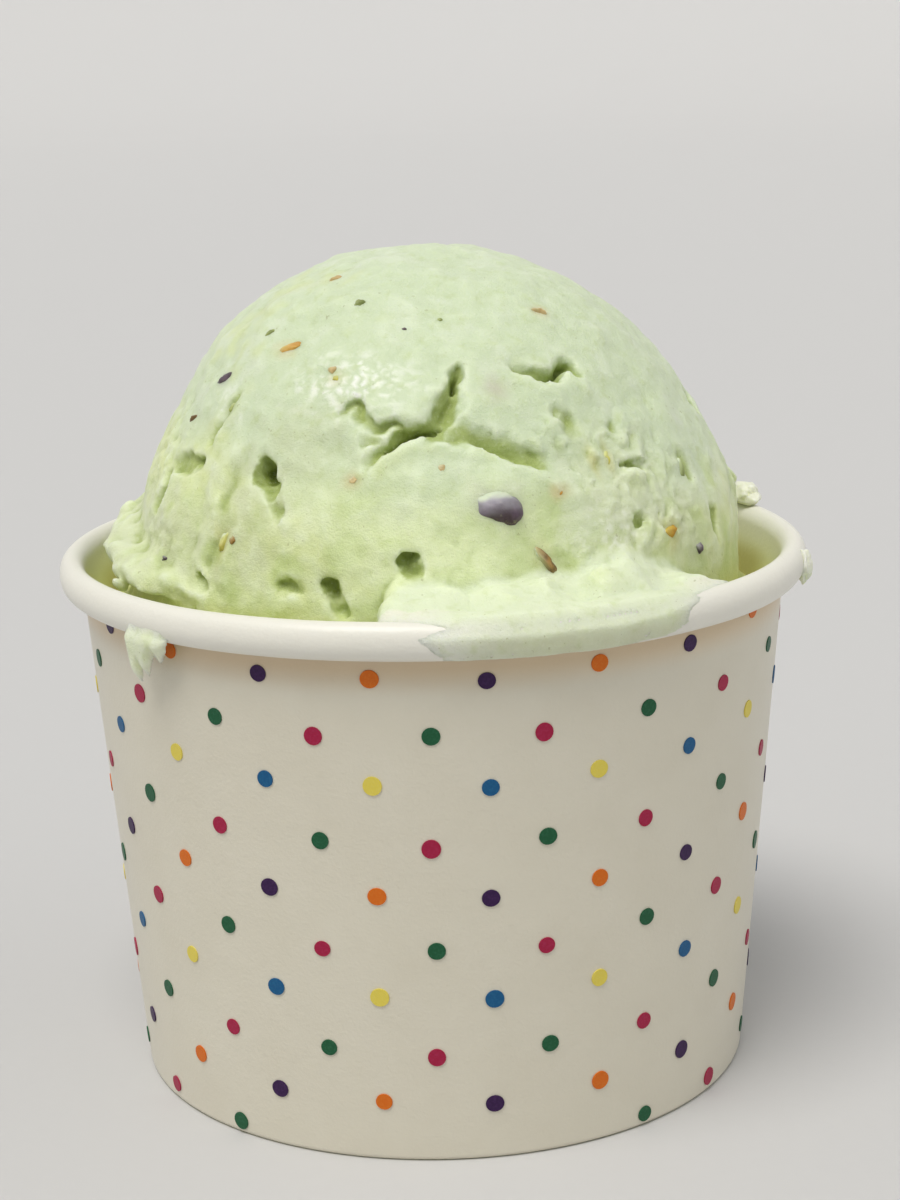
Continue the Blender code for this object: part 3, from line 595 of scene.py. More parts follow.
# Where the colour changes: tone, place, reach across and down in millimetres, share
tonePatches = [
    # Painted shade: the dull grey-green patches on the left of the front, on this line and further down, dim
    # faces where the left light falls strongly
    ("paleAndLit", (-80, 84), 22.0, 9.0, 0.9), ("paintedShade", (-37, 76), 7.0, 9.0, 0.6),
    # Ice patches: whitish ice grains with painted glints
    ("iceAndGlint", (-18, 50), 9.0, 5.5, 1.0), ("iceAndGlint", (-52, 56), 5.0, 3.5, 0.5), ("paleAndLit", (38, 74), 11.0, 9.0, 0.7),
    ("iceAndGlint", (32, 80), 7.0, 4.0, 0.5), ("green", (150, 70), 14.0, 8.0, 0.4),
    ("iceAndGlint", (-150, 40), 9.0, 6.0, 0.6), ("iceAndGlint", (100, 50), 8.0, 5.0, 0.5), ("paleAndLit", (0, 84), 14.0, 5.0, 0.35),
    # Painted light: the pale patch at azimuth 52 lightens the shade under the rough field; the other pale
    # patches make the gelato paler there
    ("paleAndLit", (52, 84), 8.0, 5.0, 0.7), ("hollowShade", (-49.4, 55.6), 1.5, 2.6, 0.8),
    ("hollowShade", (-52.4, 61.6), 1.0, 2.8, 0.6), ("straw", (33.3, 67.0), 0.9, 3.0, 0.7),
    ("straw", (37.0, 66.5), 0.8, 2.6, 0.6), ("plum", (10.4, 72.8), 4.0, 3.0, 0.6),
    ("mauve", (15.4, 51.6), 2.4, 2.4, 0.7), ("amber", (23.5, 71.9), 1.5, 1.3, 0.6),
    ("amber", (-15.0, 67.8), 1.5, 1.4, 0.6), ("amber", (-41.5, 43.4), 2.2, 1.6, 0.5),
    ("straw", (-41.4, 81.2), 1.9, 2.6, 0.6), ("straw", (46.8, 82.3), 2.4, 2.2, 0.7),
    ("straw", (19.0, 82.4), 1.8, 2.4, 0.5), ("straw", (-22.2, 48.8), 1.6, 1.4, 0.4),
    ("plum", (-59.0, 50.6), 2.0, 1.3, 0.4), ("amber", (38.9, 34.9), 1.7, 1.3, 0.5),
    # Painted shade: the patches of the hollow tone, here and further up, stand for small hollows
    ("hollowShade", (30.2, 59.6), 1.5, 2.2, 0.6), ("hollowShade", (58.1, 71.6), 1.5, 2.6, 0.7),
    ("hollowShade", (39.7, 78.7), 1.5, 1.3, 0.6), ("hollowShade", (26.5, 63.4), 1.3, 1.0, 0.5),
    # Painted light: the first patch on the next line brightens the lower middle of the front
    ("light", (3, 82), 15.0, 8.5, 0.8), ("paintedShade", (-27, 62), 9.0, 7.0, 0.4),
    ("paintedShade", (-58, 80), 7.0, 5.0, 0.4),
]
# The torn skirt at the scoop's left foot: where its edge runs and how thick it is there. Then the crumbs by it
skirt = {
    "azimuth": [-114, -104, -96, -88, -80, -72, -64, -56, -48, -40],
    "radius": [29.6, 30.5, 31.3, 31.8, 32.1, 32.1, 31.9, 31.5, 30.9, 30.2],
    "height": [56.0, 56.4, 56.4, 56.0, 55.4, 54.8, 54.3, 53.9, 53.6, 53.4],
    "half": [0.5, 0.8, 1.0, 1.15, 1.2, 1.2, 1.1, 1.0, 0.8, 0.5],
    "root radius": 27.5, "root rise": 1.0, "root half": 1.9,
}
skirtCrumbs = [(-93, 31.6, 57.4, 0.8), (-66, 33.6, 53.4, 0.8)]

# Gelato over the front rim: azimuth, height of its upper edge, height of its lower edge, how full it is
overflow = {
    "azimuth": [-8.5, -7.2, -5, -2.5, 2, 4.7, 9.2, 13.6, 18.3, 24.6, 28, 33.9, 38, 42, 46, 51],
    "upper": [53.4, 55.0, 55.8, 56.3, 55.9, 55.3, 56.4, 55.9, 56.6, 56.0, 57.6, 57.9, 56.9, 56.0, 55.2, 53.8],
    "lower": [54.4, 53.0, 51.6, 50.8, 50.7, 50.7, 50.7, 50.7, 50.7, 50.7, 50.8, 51.1, 51.8, 53.0, 54.0, 54.9],
    "over rim": 0.44, "tip": 0.26, "left fade": 13, "right fade": 18, "sink": 0.6,
    "root": (29.3, 1.5), "shoulder": (32.2, 1.3), "inside the rim": (34.9, 54.0, 1.0),
}

tableSize = 256
dice = np.random.default_rng(11)
latticeOrder = np.tile(dice.permutation(tableSize), 3).astype(np.int32)
latticeSlopes = dice.normal(size=(tableSize, 3)).astype(np.float32)
latticeSlopes /= np.linalg.norm(latticeSlopes, axis=1)[:, None]


def grainNoise(points, grain, seed=0.0, stretch=(1, 1, 1)):
    # Gradient noise, about -0.5 to 0.5, at each point
    place = points / (grain * np.array(stretch, np.float32)) + np.float32(seed * 7.13)
    cell = np.floor(place).astype(np.int32)
    share = (place - cell).astype(np.float32)
    fade = share * share * share * (share * (share * 6 - 15) + 10)
    cell &= tableSize - 1
    total = np.zeros(len(points), np.float32)
    for corner in range(8):
        step = np.array([corner & 1, corner >> 1 & 1, corner >> 2 & 1])
        key = latticeOrder[cell[:, 0] + step[0]]
        key = latticeOrder[key + cell[:, 1] + step[1]]
        key = latticeOrder[key + cell[:, 2] + step[2]]
        weight = np.ones(len(points), np.float32)
        for axis in range(3):
            weight *= fade[:, axis] if step[axis] else 1 - fade[:, axis]
        total += weight * np.einsum("ij,ij->i", latticeSlopes[key], share - step.astype(np.float32))
    return total


def wanderNoise(points, grain, seed):
    return np.stack([grainNoise(points, grain, seed + axis) for axis in range(3)], 1)


def ridgeNoise(points, grain, seed, stretch):
    # Sharp crests with round hollows between them, 0 to 1
    first = 1 - 2 * np.abs(grainNoise(points, grain, seed, stretch))
    second = 1 - 2 * np.abs(grainNoise(points, grain * 0.47, seed + 3, stretch))
    return first * 0.65 + second * 0.35


def crumbNoise(points, grain, seed):
    # Round crumbs with sharp creases between them, 0 at a crease
    shift = wanderNoise(points, grain * 1.4, seed + 5) * grain
    first = np.abs(grainNoise(points + shift, grain, seed))
    return first * 1.9 + np.abs(grainNoise(points + shift, grain * 0.45, seed + 3)) * 0.9


def softMin(a, b, reach):
    share = np.clip(0.5 + 0.5 * (b - a) / reach, 0, 1)
    return b + (a - b) * share - reach * share * (1 - share)


def softMax(a, b, reach):
    return -softMin(-a, -b, reach)


def curveThrough(values, position):
    # A smooth curve through evenly spaced values, level at its first end
    index = np.clip(position.astype(np.int32), 0, len(values) - 2)
    t = np.clip(position - index, 0, 1)
    table = np.array(values, np.float32)
    before = np.where(index > 0, table[index - 1], table[1])
    a, b = table[index], table[index + 1]
    after = table[np.minimum(index + 2, len(values) - 1)]
    return 0.5 * (2 * a + (b - before) * t + (2 * before - 5 * a + 4 * b - after) * t * t
                  + (3 * a - before - 3 * b + after) * t ** 3)


def polarPlace(points):
    x, y, z = points[:, 0], points[:, 1], points[:, 2] - scoop["centre"]
    around = np.hypot(x, y)
    azimuth, polar = np.degrees(np.arctan2(x, -y)), np.degrees(np.arctan2(around, z))
    return azimuth, polar, np.sqrt(around ** 2 + z ** 2), around


def angleBetween(a, b):
    return (a - b + 180) % 360 - 180


def acrossAndDown(azimuth, polar, place):
    # Millimetres along and down the scoop from a place on it
    size = scoop["left"][0]
    across = np.radians(angleBetween(azimuth, place[0])) * size * math.sin(math.radians(place[1]))
    return across, np.radians(polar - place[1]) * size


def nearness(azimuth, polar, place, halfWide, halfHigh, ragged=0.0):
    # 1 at a place on the scoop, 0 from the given distances on
    across, down = acrossAndDown(azimuth, polar, place)
    return 1 - smoothStep(np.hypot(across / halfWide, down / halfHigh) + ragged)


def plainRadius(azimuth, polar):
    right = 0.5 + 0.5 * np.sin(np.radians(azimuth))
    position = polar / scoop["step"]
    return curveThrough(scoop["left"], position) * (1 - right) + curveThrough(scoop["right"], position) * right


def onScoop(azimuth, polar, out=0.0):
    # A point on the plain scoop, or out from it
    radius = float(plainRadius(np.array([azimuth], np.float32), np.array([polar], np.float32))[0]) + out
    turn = math.radians(polar)
    return atAzimuth(azimuth, radius * math.sin(turn), scoop["centre"] + radius * math.cos(turn))


def overflowShare(azimuth):
    first, last = overflow["azimuth"][0], overflow["azimuth"][-1]
    return smoothStep((azimuth - first) / 3) * smoothStep((last - azimuth) / 8)


def moatFloor(azimuth):
    front = 0.5 + 0.5 * np.cos(np.radians(azimuth + 10))
    depth = scoop["moat depth"] + (scoop["front moat depth"] - scoop["moat depth"]) * front ** 3
    return cup["height"] - depth * (1 - 0.8 * overflowShare(azimuth))


def chainDistance(points, chain):
    # Distance to a row of balls joined by cones: (point, half thickness) along it
    best = np.full(len(points), 1e3, np.float32)
    for (a, ra), (b, rb) in zip(chain, chain[1:]):
        run = np.array(b - a, np.float32)
        t = np.clip((points - np.array(a, np.float32)) @ run / float(run @ run), 0, 1)
        near = np.linalg.norm(points - (np.array(a, np.float32) + t[:, None] * run), axis=1)
        best = np.minimum(best, near - (ra + (rb - ra) * t))
    return best


def sectionDistance(around, height, stops, full=1.0):
    # In each half plane through the axis: distance to a chain of stops (radius, height, half thickness)
    best = np.full(len(around), 1e3)
    for (ar, az, aw), (br, bz, bw) in zip(stops, stops[1:]):
        runR, runZ = br - ar, bz - az
        length = runR ** 2 + runZ ** 2 + 1e-6
        t = np.clip(((around - ar) * runR + (height - az) * runZ) / length, 0, 1)
        near = np.hypot(around - ar - runR * t, height - az - runZ * t)
        best = np.minimum(best, near - (aw + (bw - aw) * t) * full)
    return best


def skirtDistance(azimuth, around, height):
    shape = (np.interp(azimuth, skirt["azimuth"], skirt[key]) for key in ("radius", "height", "half"))
    radius, level, half = shape
    root = (skirt["root radius"] + 0 * radius, level + skirt["root rise"], skirt["root half"])
    stops = [root, (radius, level, half)]
    best = sectionDistance(around, height, stops)
    outside = np.maximum(skirt["azimuth"][0] - azimuth, azimuth - skirt["azimuth"][-1])
    return np.maximum(best, outside * 0.55).astype(np.float32)


def overflowDistance(azimuth, around, height):
    # A chain of thick stretches from the scoop over the rim and down
    upper = np.interp(azimuth, overflow["azimuth"], overflow["upper"])
    lower = np.interp(azimuth, overflow["azimuth"], overflow["lower"])
    share = overflowShare(azimuth)
    full = np.sqrt(share)
    end = np.arcsin(np.clip((lower + 0.12 - rimMiddleHeight) / cup["rim half height"], -0.9, 1))
    half = (end + math.pi / 2) / 2
    # Towards its ends it gets thinner and sinks into the rim, so that no edge of it shows
    first, last, fade = overflow["azimuth"][0], overflow["azimuth"][-1], overflow["right fade"]
    thinned = np.maximum(1 - smoothStep((azimuth - first) / overflow["left fade"]),
                         smoothStep((azimuth - last + fade) / fade * 1.2))
    sink = overflow["sink"] * thinned
    thick, tip = overflow["over rim"] * (1 - 0.5 * thinned), overflow["tip"] * (1 - 0.4 * thinned)

    def overRim(turn, out):
        # A place round the rolled rim, in or out from its skin
        return (rimMiddleRadius + (cup["rim half width"] + out) * np.cos(turn),
                rimMiddleHeight + (cup["rim half height"] + out) * np.sin(turn))
    level = 0 * upper
    rootRadius, rootHalf = overflow["root"]
    shoulderRadius, shoulderHalf = overflow["shoulder"]
    insideRadius, insideHeight, insideHalf = overflow["inside the rim"]
    stops = [
        (rootRadius + level, upper - rootHalf, rootHalf),
        (shoulderRadius + level, upper * 0.6 + cup["height"] * 0.4 - 0.6, shoulderHalf),
        (insideRadius + level, insideHeight + level, insideHalf),
        (*overRim(math.pi / 2 + level, 0.08 - sink * 0.6), thick),
        (*overRim(half, 0.02 - sink * 0.8), thick * 0.8), (*overRim(half * 0.5 + end * 0.5, -0.06 - sink), tip),
        (*overRim(end, -0.08 - sink), tip),
    ]
    best = sectionDistance(around, height, stops, full)
    outside = np.maximum(first - azimuth, azimuth - last)
    return np.maximum(best, outside * 0.6).astype(np.float32)


def plainGelato(points):
    # The scoop with its soft swells, and the gelato that fills the tub round its foot
    azimuth, polar, reach, around = polarPlace(points)
    height = points[:, 2]
    radius = plainRadius(azimuth, polar)
    for place in swells:
        across, down = acrossAndDown(azimuth, polar, place)
        radius = radius + place[4] * (1 - smoothStep(np.hypot(across / place[2], down / place[3]) / 1.5))
    dome = reach - radius
    floor = moatFloor(azimuth)
    edge = wallRadius(floor) - cup["paper"]
    slope = (scoop["foot height"] - floor) / (edge - scoop["foot radius"])
    run = np.minimum(edge - around, edge - scoop["foot radius"] + 2)
    lid = (height - floor - run * slope) / np.sqrt(1 + slope ** 2)
    wall = around - (wallRadius(height) - cup["paper"] - scoop["wall gap"])
    fill = np.maximum(lid, wall)
    return softMin(dome, fill, scoop["join"]).astype(np.float32)


def addLooseGelato(points, solid):
    # The skirt, its crumbs and the overflow, with ragged edges
    onRim = smoothStep((np.hypot(points[:, 0], points[:, 1]) - 34.5) / 1.5)[:, None]
    ragged = wanderNoise(points, 3.4, 1) * 1.5
    ragged += wanderNoise(points, 1.5, 4) * 0.45
    moved = points + ragged * (1 - 0.9 * onRim)
    azimuth, polar, reach, around = polarPlace(moved)
    solid = softMin(solid, overflowDistance(azimuth, around, moved[:, 2]), 0.9)
    near = skirtDistance(azimuth, around, moved[:, 2])
    for *place, half in skirtCrumbs:
        crumb = np.linalg.norm(moved - np.array(atAzimuth(*place), np.float32), axis=1) - half
        near = softMin(near, crumb, 0.4)
    solid = softMin(solid, near, 0.8)
    rolled = np.hypot((points[:, 0] ** 2 + points[:, 1] ** 2) ** 0.5 - rimMiddleRadius,
                      (points[:, 2] - rimMiddleHeight) * cup["rim half width"] / cup["rim half height"])
    # Inside the rolled rim nothing is left but a skin
    return np.maximum(solid, cup["rim half width"] - scoop["skin in rim"] - rolled)


def pathPlace(azimuth, polar, path):
    # How far each point is from a path on the scoop, which side of it (1 is to the right as it runs, seen from
    # outside) and how many of its stretches come before the nearest place on it
    middle = path[len(path) // 2]
    across, down = acrossAndDown(azimuth, polar, middle)
    stops = [acrossAndDown(a, p, middle) for a, p in path]
    best = np.full(len(azimuth), 1e3)
    side, along = np.zeros(len(azimuth)), np.zeros(len(azimuth))
    for number, ((startX, startY), (endX, endY)) in enumerate(zip(stops, stops[1:])):
        runX, runY = endX - startX, endY - startY
        share = ((across - startX) * runX + (down - startY) * runY) / (runX ** 2 + runY ** 2)
        share = np.clip(share, 0, 1)
        offX, offY = across - startX - runX * share, down - startY - runY * share
        near = np.hypot(offX, offY)
        closer = near < best
        best[closer] = near[closer]
        side[closer] = np.sign(runX * offY - runY * offX)[closer]
        along[closer] = number + share[closer]
    return best, side, along


def wanderPoints(points):
    # Gives tears and pits an uneven edge
    shift = wanderNoise(points, 1.7, 7) * 0.75 + wanderNoise(points, 0.7, 10) * 0.3
    return (points + shift).astype(np.float32)


def tearDepths(moved, azimuth, polar):
    # How far the tears sink the surface, and how far their lips raise it
    sunk, raised = np.zeros(len(moved)), np.zeros(len(moved))
    for stops, full, depth, sides, line, lip in tears:
        path = [onScoop(*place) for place in stops]
        low = np.min([list(p) for p in path], axis=0) - 5
        high = np.max([list(p) for p in path], axis=0) + 5
        close = ((moved > low) & (moved < high)).all(1)
        if not close.any():
            continue
        near, side, along = pathPlace(azimuth[close], polar[close], stops)
        share = np.interp(along, range(len(path)), full)
        wide = np.where(side > 0, sides[1], sides[0])
        slope = depth * share * (1 - smoothStep((near / wide - 0.2) / 0.8))
        slope += line * share * (1 - smoothStep(near / 0.5))
        sunk[close] = np.maximum(sunk[close], slope)
        sideAzimuth, sidePolar, lipHalf, lipHeight = lip
        ridge = [(onScoop(a + sideAzimuth, p + sidePolar), 0.0) for a, p in stops]
        raised[close] += lipHeight * (1 - smoothStep(chainDistance(moved[close], ridge) / lipHalf))
    return sunk, raised


def pitPlace(azimuth, polar, place):
    # Where each point is in a pit's own frame: 1 at its edge
    across, down = acrossAndDown(azimuth, polar, place)
    lean = math.radians(place[5])
    sideways = across * math.cos(lean) - down * math.sin(lean)
    along = across * math.sin(lean) + down * math.cos(lean)
    return sideways / place[2], along / place[3]


def carve(points, solid):
    # Tears and pits, with edges that wander
    moved = wanderPoints(points)
    azimuth, polar, reach, around = polarPlace(moved)
    out = reach - plainRadius(azimuth, polar)
    sunk, raised = tearDepths(moved, azimuth, polar)
    solid += sunk - raised
    for place in pits:
        sideways, along = pitPlace(azimuth, polar, place)
        ball = np.sqrt(sideways ** 2 + along ** 2 + (out / place[4]) ** 2)
        close = ball < 3
        cut = (ball[close] - 1) * min(place[2], place[3])
        solid[close] = softMax(solid[close], -cut, 0.5)
    return solid


def roughShare(azimuth, polar):
    # How rough the surface is
    height = np.zeros(len(azimuth), np.float32)
    for place in roughFields:
        height = np.maximum(height, nearness(azimuth, polar, place, place[2], place[3]) * place[4])
    return height


def icyShare(azimuth, polar):
    # Where grains of ice have come to the surface
    share = np.zeros(len(azimuth), np.float32)
    for name, place, halfWide, halfHigh, full in tonePatches:
        if name == "iceAndGlint":
            share = np.maximum(share, full * nearness(azimuth, polar, place, halfWide, halfHigh))
    return share


def addSurface(points, solid):
    # Soft lumps all over, drawn-out flakes where the scoop tore, and a fine grain
    azimuth, polar, reach, around = polarPlace(points)
    solid -= 0.50 * grainNoise(points, 8.0, 20) + 0.36 * grainNoise(points, 4.4, 23)
    solid -= 0.26 * grainNoise(points, 2.3, 21) + 0.14 * grainNoise(points, 1.1, 22)
    solid -= 0.22 * grainNoise(points, 2.4, 29, (4.0, 2.5, 1.0)) * (1 - smoothStep((polar - 30) / 30))
    rough = roughShare(azimuth, polar)
    some = rough > 0.01
    flakes = ridgeNoise(points[some], 1.9, 25, (1, 1, 1.2)) - 0.62
    crumbs = crumbNoise(points[some], 2.1, 31) - 0.42
    solid[some] -= rough[some] * (flakes * 0.5 + crumbs * 0.8)
    icy = icyShare(azimuth, polar)
    some = icy > 0.01
    solid[some] -= 0.22 * icy[some] * np.abs(grainNoise(points[some], 0.8, 44))
    return solid


def gelatoField(points):
    solid = plainGelato(points)
    solid = addSurface(points, solid)
    solid = carve(points, solid)
    return addLooseGelato(points, solid)


def surfaceNet(values, origin, step):
    # One vertex in each cell that the surface crosses, and a quad round each grid edge that it crosses
    inside = values < 0
    shape = np.array(values.shape) - 1
    corners = [(i, j, k) for i in (0, 1) for j in (0, 1) for k in (0, 1)]

    def at(array, corner):
        return array[tuple(slice(corner[n], corner[n] + shape[n]) for n in range(3))]
    count = sum(at(inside, corner).astype(np.uint8) for corner in corners)
    cells = np.argwhere((count > 0) & (count < 8))
    number = np.full(tuple(shape), -1, np.int32)
    number[tuple(cells.T)] = np.arange(len(cells))
    level = {corner: values[tuple((cells + corner).T)] for corner in corners}
    total = np.zeros((len(cells), 3))
    hits = np.zeros(len(cells))
    for a in corners:
        for axis in range(3):
            if a[axis]:
                continue
            b = tuple(1 if n == axis else a[n] for n in range(3))
            crossed = (level[a] < 0) != (level[b] < 0)
            share = level[a] / np.where(crossed, level[a] - level[b], 1)
            place = np.array([share if n == axis else np.full(len(cells), a[n]) for n in range(3)]).T
            total[crossed] += place[crossed]
            hits += crossed
    verts = origin + (cells + total / hits[:, None]) * step
    quads = []
    for axis in range(3):
        lead = [slice(None)] * 3
        tail = [slice(None)] * 3
        lead[axis], tail[axis] = slice(0, -1), slice(1, None)
        start, stop = inside[tuple(lead)], inside[tuple(tail)]
        edges = np.argwhere(start != stop)
        one, two = [n for n in range(3) if n != axis]
        edges = edges[(edges[:, one] > 0) & (edges[:, two] > 0)]
        edges = edges[(edges[:, one] < shape[one]) & (edges[:, two] < shape[two])]
        flip = start[tuple(edges.T)]
        ring = []
        for back in ((1, 1), (0, 1), (0, 0), (1, 0)):
            cell = edges.copy()
            cell[:, one] -= back[0]
            cell[:, two] -= back[1]
            ring.append(number[tuple(cell.T)])
        ring = np.stack(ring, 1)
        turnRound = flip if axis == 1 else ~flip
        ring[turnRound] = ring[turnRound][:, ::-1]
        quads.append(ring)
    quads = np.concatenate(quads)
    return verts, quads[(quads >= 0).all(1)]


def meshFromArrays(name, verts, quads):
    mesh = bpy.data.meshes.new(name)
    mesh.vertices.add(len(verts))
    mesh.vertices.foreach_set("co", (verts * mm).astype(np.float32).ravel())
    mesh.loops.add(quads.size)
    mesh.loops.foreach_set("vertex_index", quads.astype(np.int32).ravel())
    mesh.polygons.add(len(quads))
    mesh.polygons.foreach_set("loop_start", np.arange(0, quads.size, 4, dtype=np.int32))
    mesh.update(calc_edges=True)
    mesh.validate()
    return mesh


def meshField(name, low, high, step, field, slab=24):
    # Works through the box from low to high in slabs, to spare memory
    counts = np.ceil((np.array(high) - low) / step).astype(int)
    axes = [low[n] + step * np.arange(counts[n]) for n in range(3)]
    slabs = []
    for i in range(0, counts[0], slab):
        grid = np.meshgrid(axes[0][i:i + slab], axes[1], axes[2], indexing="ij")
        points = np.stack([g.ravel() for g in grid], 1).astype(np.float32)
        slabs.append(field(points).reshape(grid[0].shape))
    verts, quads = surfaceNet(np.concatenate(slabs), np.array(low), step)
    print(name, "meshed:", len(verts), "points")
    return meshFromArrays(name, verts, quads)


def gelatoOnGrid(points):
    # The detail is worked out only near the surface
    solid = plainGelato(points)
    around = np.hypot(points[:, 0], points[:, 1])
    inner, outer, bottom, top = scoop["loose zone"]
    loose = (around > inner) & (around < outer) & (points[:, 2] > bottom) & (points[:, 2] < top)
    close = (np.abs(solid) < scoop["detail reach"]) | loose
    solid[close] = gelatoField(points[close])
    return np.maximum(solid, scoop["cut"] - points[:, 2])


def thinOut(piece, triangles):
    now = sum(len(face.vertices) - 2 for face in piece.data.polygons)
    if now > triangles:
        modifier = piece.modifiers.new("thin out", "DECIMATE")
        modifier.ratio = triangles / now
        graph = bpy.context.evaluated_depsgraph_get()
        mesh = bpy.data.meshes.new_from_object(piece.evaluated_get(graph))
        piece.modifiers.clear()
        piece.data = mesh


def meshArrays(mesh):
    count = len(mesh.vertices)
    co, normal = np.empty(count * 3, np.float32), np.empty(count * 3, np.float32)
    mesh.vertices.foreach_get("co", co)
    mesh.vertices.foreach_get("normal", normal)
    ends = np.empty(len(mesh.edges) * 2, np.int32)
    mesh.edges.foreach_get("vertices", ends)
    return co.reshape(-1, 3) / mm, normal.reshape(-1, 3), ends.reshape(-1, 2)


def hollowness(co, normal, ends, rounds):
    # How far each point lies below its surroundings, in millimetres; the more rounds, the wider they are
    count = len(co)
    links = np.bincount(ends.ravel(), minlength=count).clip(1)
    level = co.astype(np.float64)
    for _ in range(rounds):
        around = np.zeros_like(level)
        for axis in range(3):
            around[:, axis] += np.bincount(ends[:, 0], level[ends[:, 1], axis], count)
            around[:, axis] += np.bincount(ends[:, 1], level[ends[:, 0], axis], count)
        level = level * 0.3 + around / links[:, None] * 0.7
    return ((level - co) * normal).sum(1)


# Gelato tones. The hollow, deep and dark tones are painted shade, the crest tone a painted highlight and the
# light tone painted light
tones = {
    "top": (210, 223, 189), "low": (222, 232, 179), "moat": (212, 216, 146), "hollowShade": (168, 184, 104),
    "deep": (134, 150, 62), "crestHighlight": (230, 241, 210), "film": (226, 235, 206), "yellow": (218, 226, 156),
    "thin": (216, 221, 184), "paleAndLit": (216, 223, 188), "green": (200, 216, 146), "paintedShade": (202, 208, 168),
    "iceAndGlint": (250, 253, 243), "rim": (236, 236, 219), "dark": (94, 110, 26), "plum": (158, 158, 152),
    "mauve": (196, 188, 176), "amber": (210, 186, 128), "straw": (204, 202, 126), "light": (238, 249, 202),
}


def mixTone(colour, name, share):
    share = np.clip(share, 0, 1)[:, None]
    return colour * (1 - share) + np.array(srgb(*tones[name]), np.float32) * share


def addShade(piece, colour):
    layer = piece.data.color_attributes.new("shade", "FLOAT_COLOR", "POINT")
    layer.data.foreach_set("color", colour.astype(np.float32).ravel())
    piece.data.shade_smooth()


def paintGelato(piece):
    # Painted highlight where it stands proud, painted shade, greener and darker, in every hollow, tear and pit,
    # and yellower towards the foot
    co, normal, ends = meshArrays(piece.data)
    azimuth, polar, reach, around = polarPlace(co)
    wide, narrow = hollowness(co, normal, ends, 40), hollowness(co, normal, ends, 8)
    wander = grainNoise(co, 9.0, 40)
    fine = grainNoise(co, 1.6, 41)
    colour = np.tile(np.array(srgb(*tones["top"]), np.float32), (len(co), 1))
    lean = 6 * np.sin(np.radians(azimuth))
    # The upper right of the front has no yellow in it
    right = smoothStep((azimuth - 12) / 20) * (1 - smoothStep((azimuth - 90) / 20))
    clear = 1 - right * (1 - smoothStep((polar - 60) / 15))
    colour = mixTone(colour, "low", smoothStep((polar - 58 - lean + wander * 22) / 28) * 0.95)
    colour = mixTone(colour, "yellow", smoothStep((wander + fine * 0.5 - 0.04) / 0.4) * 0.4 * clear)
    mottle = grainNoise(co, 3.6, 43) + fine * 0.4
    colour = mixTone(colour, "green", smoothStep((mottle - 0.02) / 0.25) * smoothStep((polar - 66) / 12) * 0.7)
    # Whitish flecks of ice with painted glints
    colour = mixTone(colour, "iceAndGlint", smoothStep((-mottle - 0.1) / 0.3) * 0.16)
    for name, place, halfWide, halfHigh, share in tonePatches:
        near = nearness(azimuth, polar, place, halfWide, halfHigh, fine * 0.5)
        if name == "iceAndGlint":
            near = near * smoothStep((np.abs(grainNoise(co, 0.8, 44)) - 0.12) / 0.16)
        colour = mixTone(colour, name, near * share)
    foot = smoothStep((54.4 - co[:, 2] + 0.12 * (around - 30)) / 4.0) * (around > 29.5)
    colour = mixTone(colour, "moat", foot * 0.9)
    ledge = 1 - smoothStep((overflowDistance(azimuth, around, co[:, 2]) - 0.1) / 0.9)
    colour = mixTone(colour, "film", ledge * 0.85)
    onFace = ledge * smoothStep((around - 36.9) / 0.8)
    thin = smoothStep(azimuth / 14) * (1 - smoothStep((azimuth - 33) / 8))
    ends = np.maximum(1 - smoothStep((azimuth + 4) / 10), smoothStep((azimuth - 36) / 10)) * (around > 35.2)
    colour = mixTone(colour, "rim", np.maximum(onFace * (1 - thin), ledge * ends) * 0.9)
    colour = mixTone(colour, "thin", onFace * thin * smoothStep((53.6 - co[:, 2]) / 1.8))
    # Painted highlight on the crests that stand proud
    colour = mixTone(colour, "crestHighlight", np.clip(-narrow - 0.02, 0, 0.25) * 3.6)
    open_ = 1 - ledge
    # Painted shade, greener and darker, in every hollow, more where the hollow is wide
    colour = mixTone(colour, "hollowShade", smoothStep((narrow - 0.02) / 0.2) * 0.6 * open_)
    colour = mixTone(colour, "hollowShade", smoothStep((wide - 0.06) / 0.5) * 0.8 * open_)
    inScoop = (co[:, 2] > 55.0) * open_
    moved = wanderPoints(co.astype(np.float32))
    azimuth, polar, reach, around = polarPlace(moved)
    sunk = tearDepths(moved, azimuth, polar)[0]
    for place in pits:
        sideways, along = pitPlace(azimuth, polar, place)
        sunk = np.maximum(sunk, place[4] * (1 - smoothStep((np.hypot(sideways, along) - 0.55) / 0.75)))
    sunk = sunk + fine * 0.45
    # Painted shade in tears and pits, greener and darker the deeper they sink
    colour = mixTone(colour, "hollowShade", smoothStep((sunk - 0.1) / 0.75) * 0.85 * inScoop)
    colour = mixTone(colour, "deep", smoothStep((sunk - 1.0) / 1.0) * 0.85 * inScoop)
    colour = mixTone(colour, "dark", smoothStep((sunk - 1.7) / 0.8) * 0.85 * inScoop)
    addShade(piece, colour)


def paintMelt(piece):
    # Melted gelato is paler, with a little green where it is thick
    co = meshArrays(piece.data)[0]
    colour = np.tile(np.array(srgb(*tones["film"]), np.float32), (len(co), 1))
    colour = mixTone(colour, "low", smoothStep((grainNoise(co, 2.2, 42) + 0.1) / 0.5) * 0.4)
    addShade(piece, mixTone(colour, "rim", smoothStep((co[:, 2] - 51.2) / 1.4) * 0.8))


gelatoLook = {"ice grain": 0.32, "crystal grain": 0.13, "soft grain": 1.3, "relief": 0.00022}


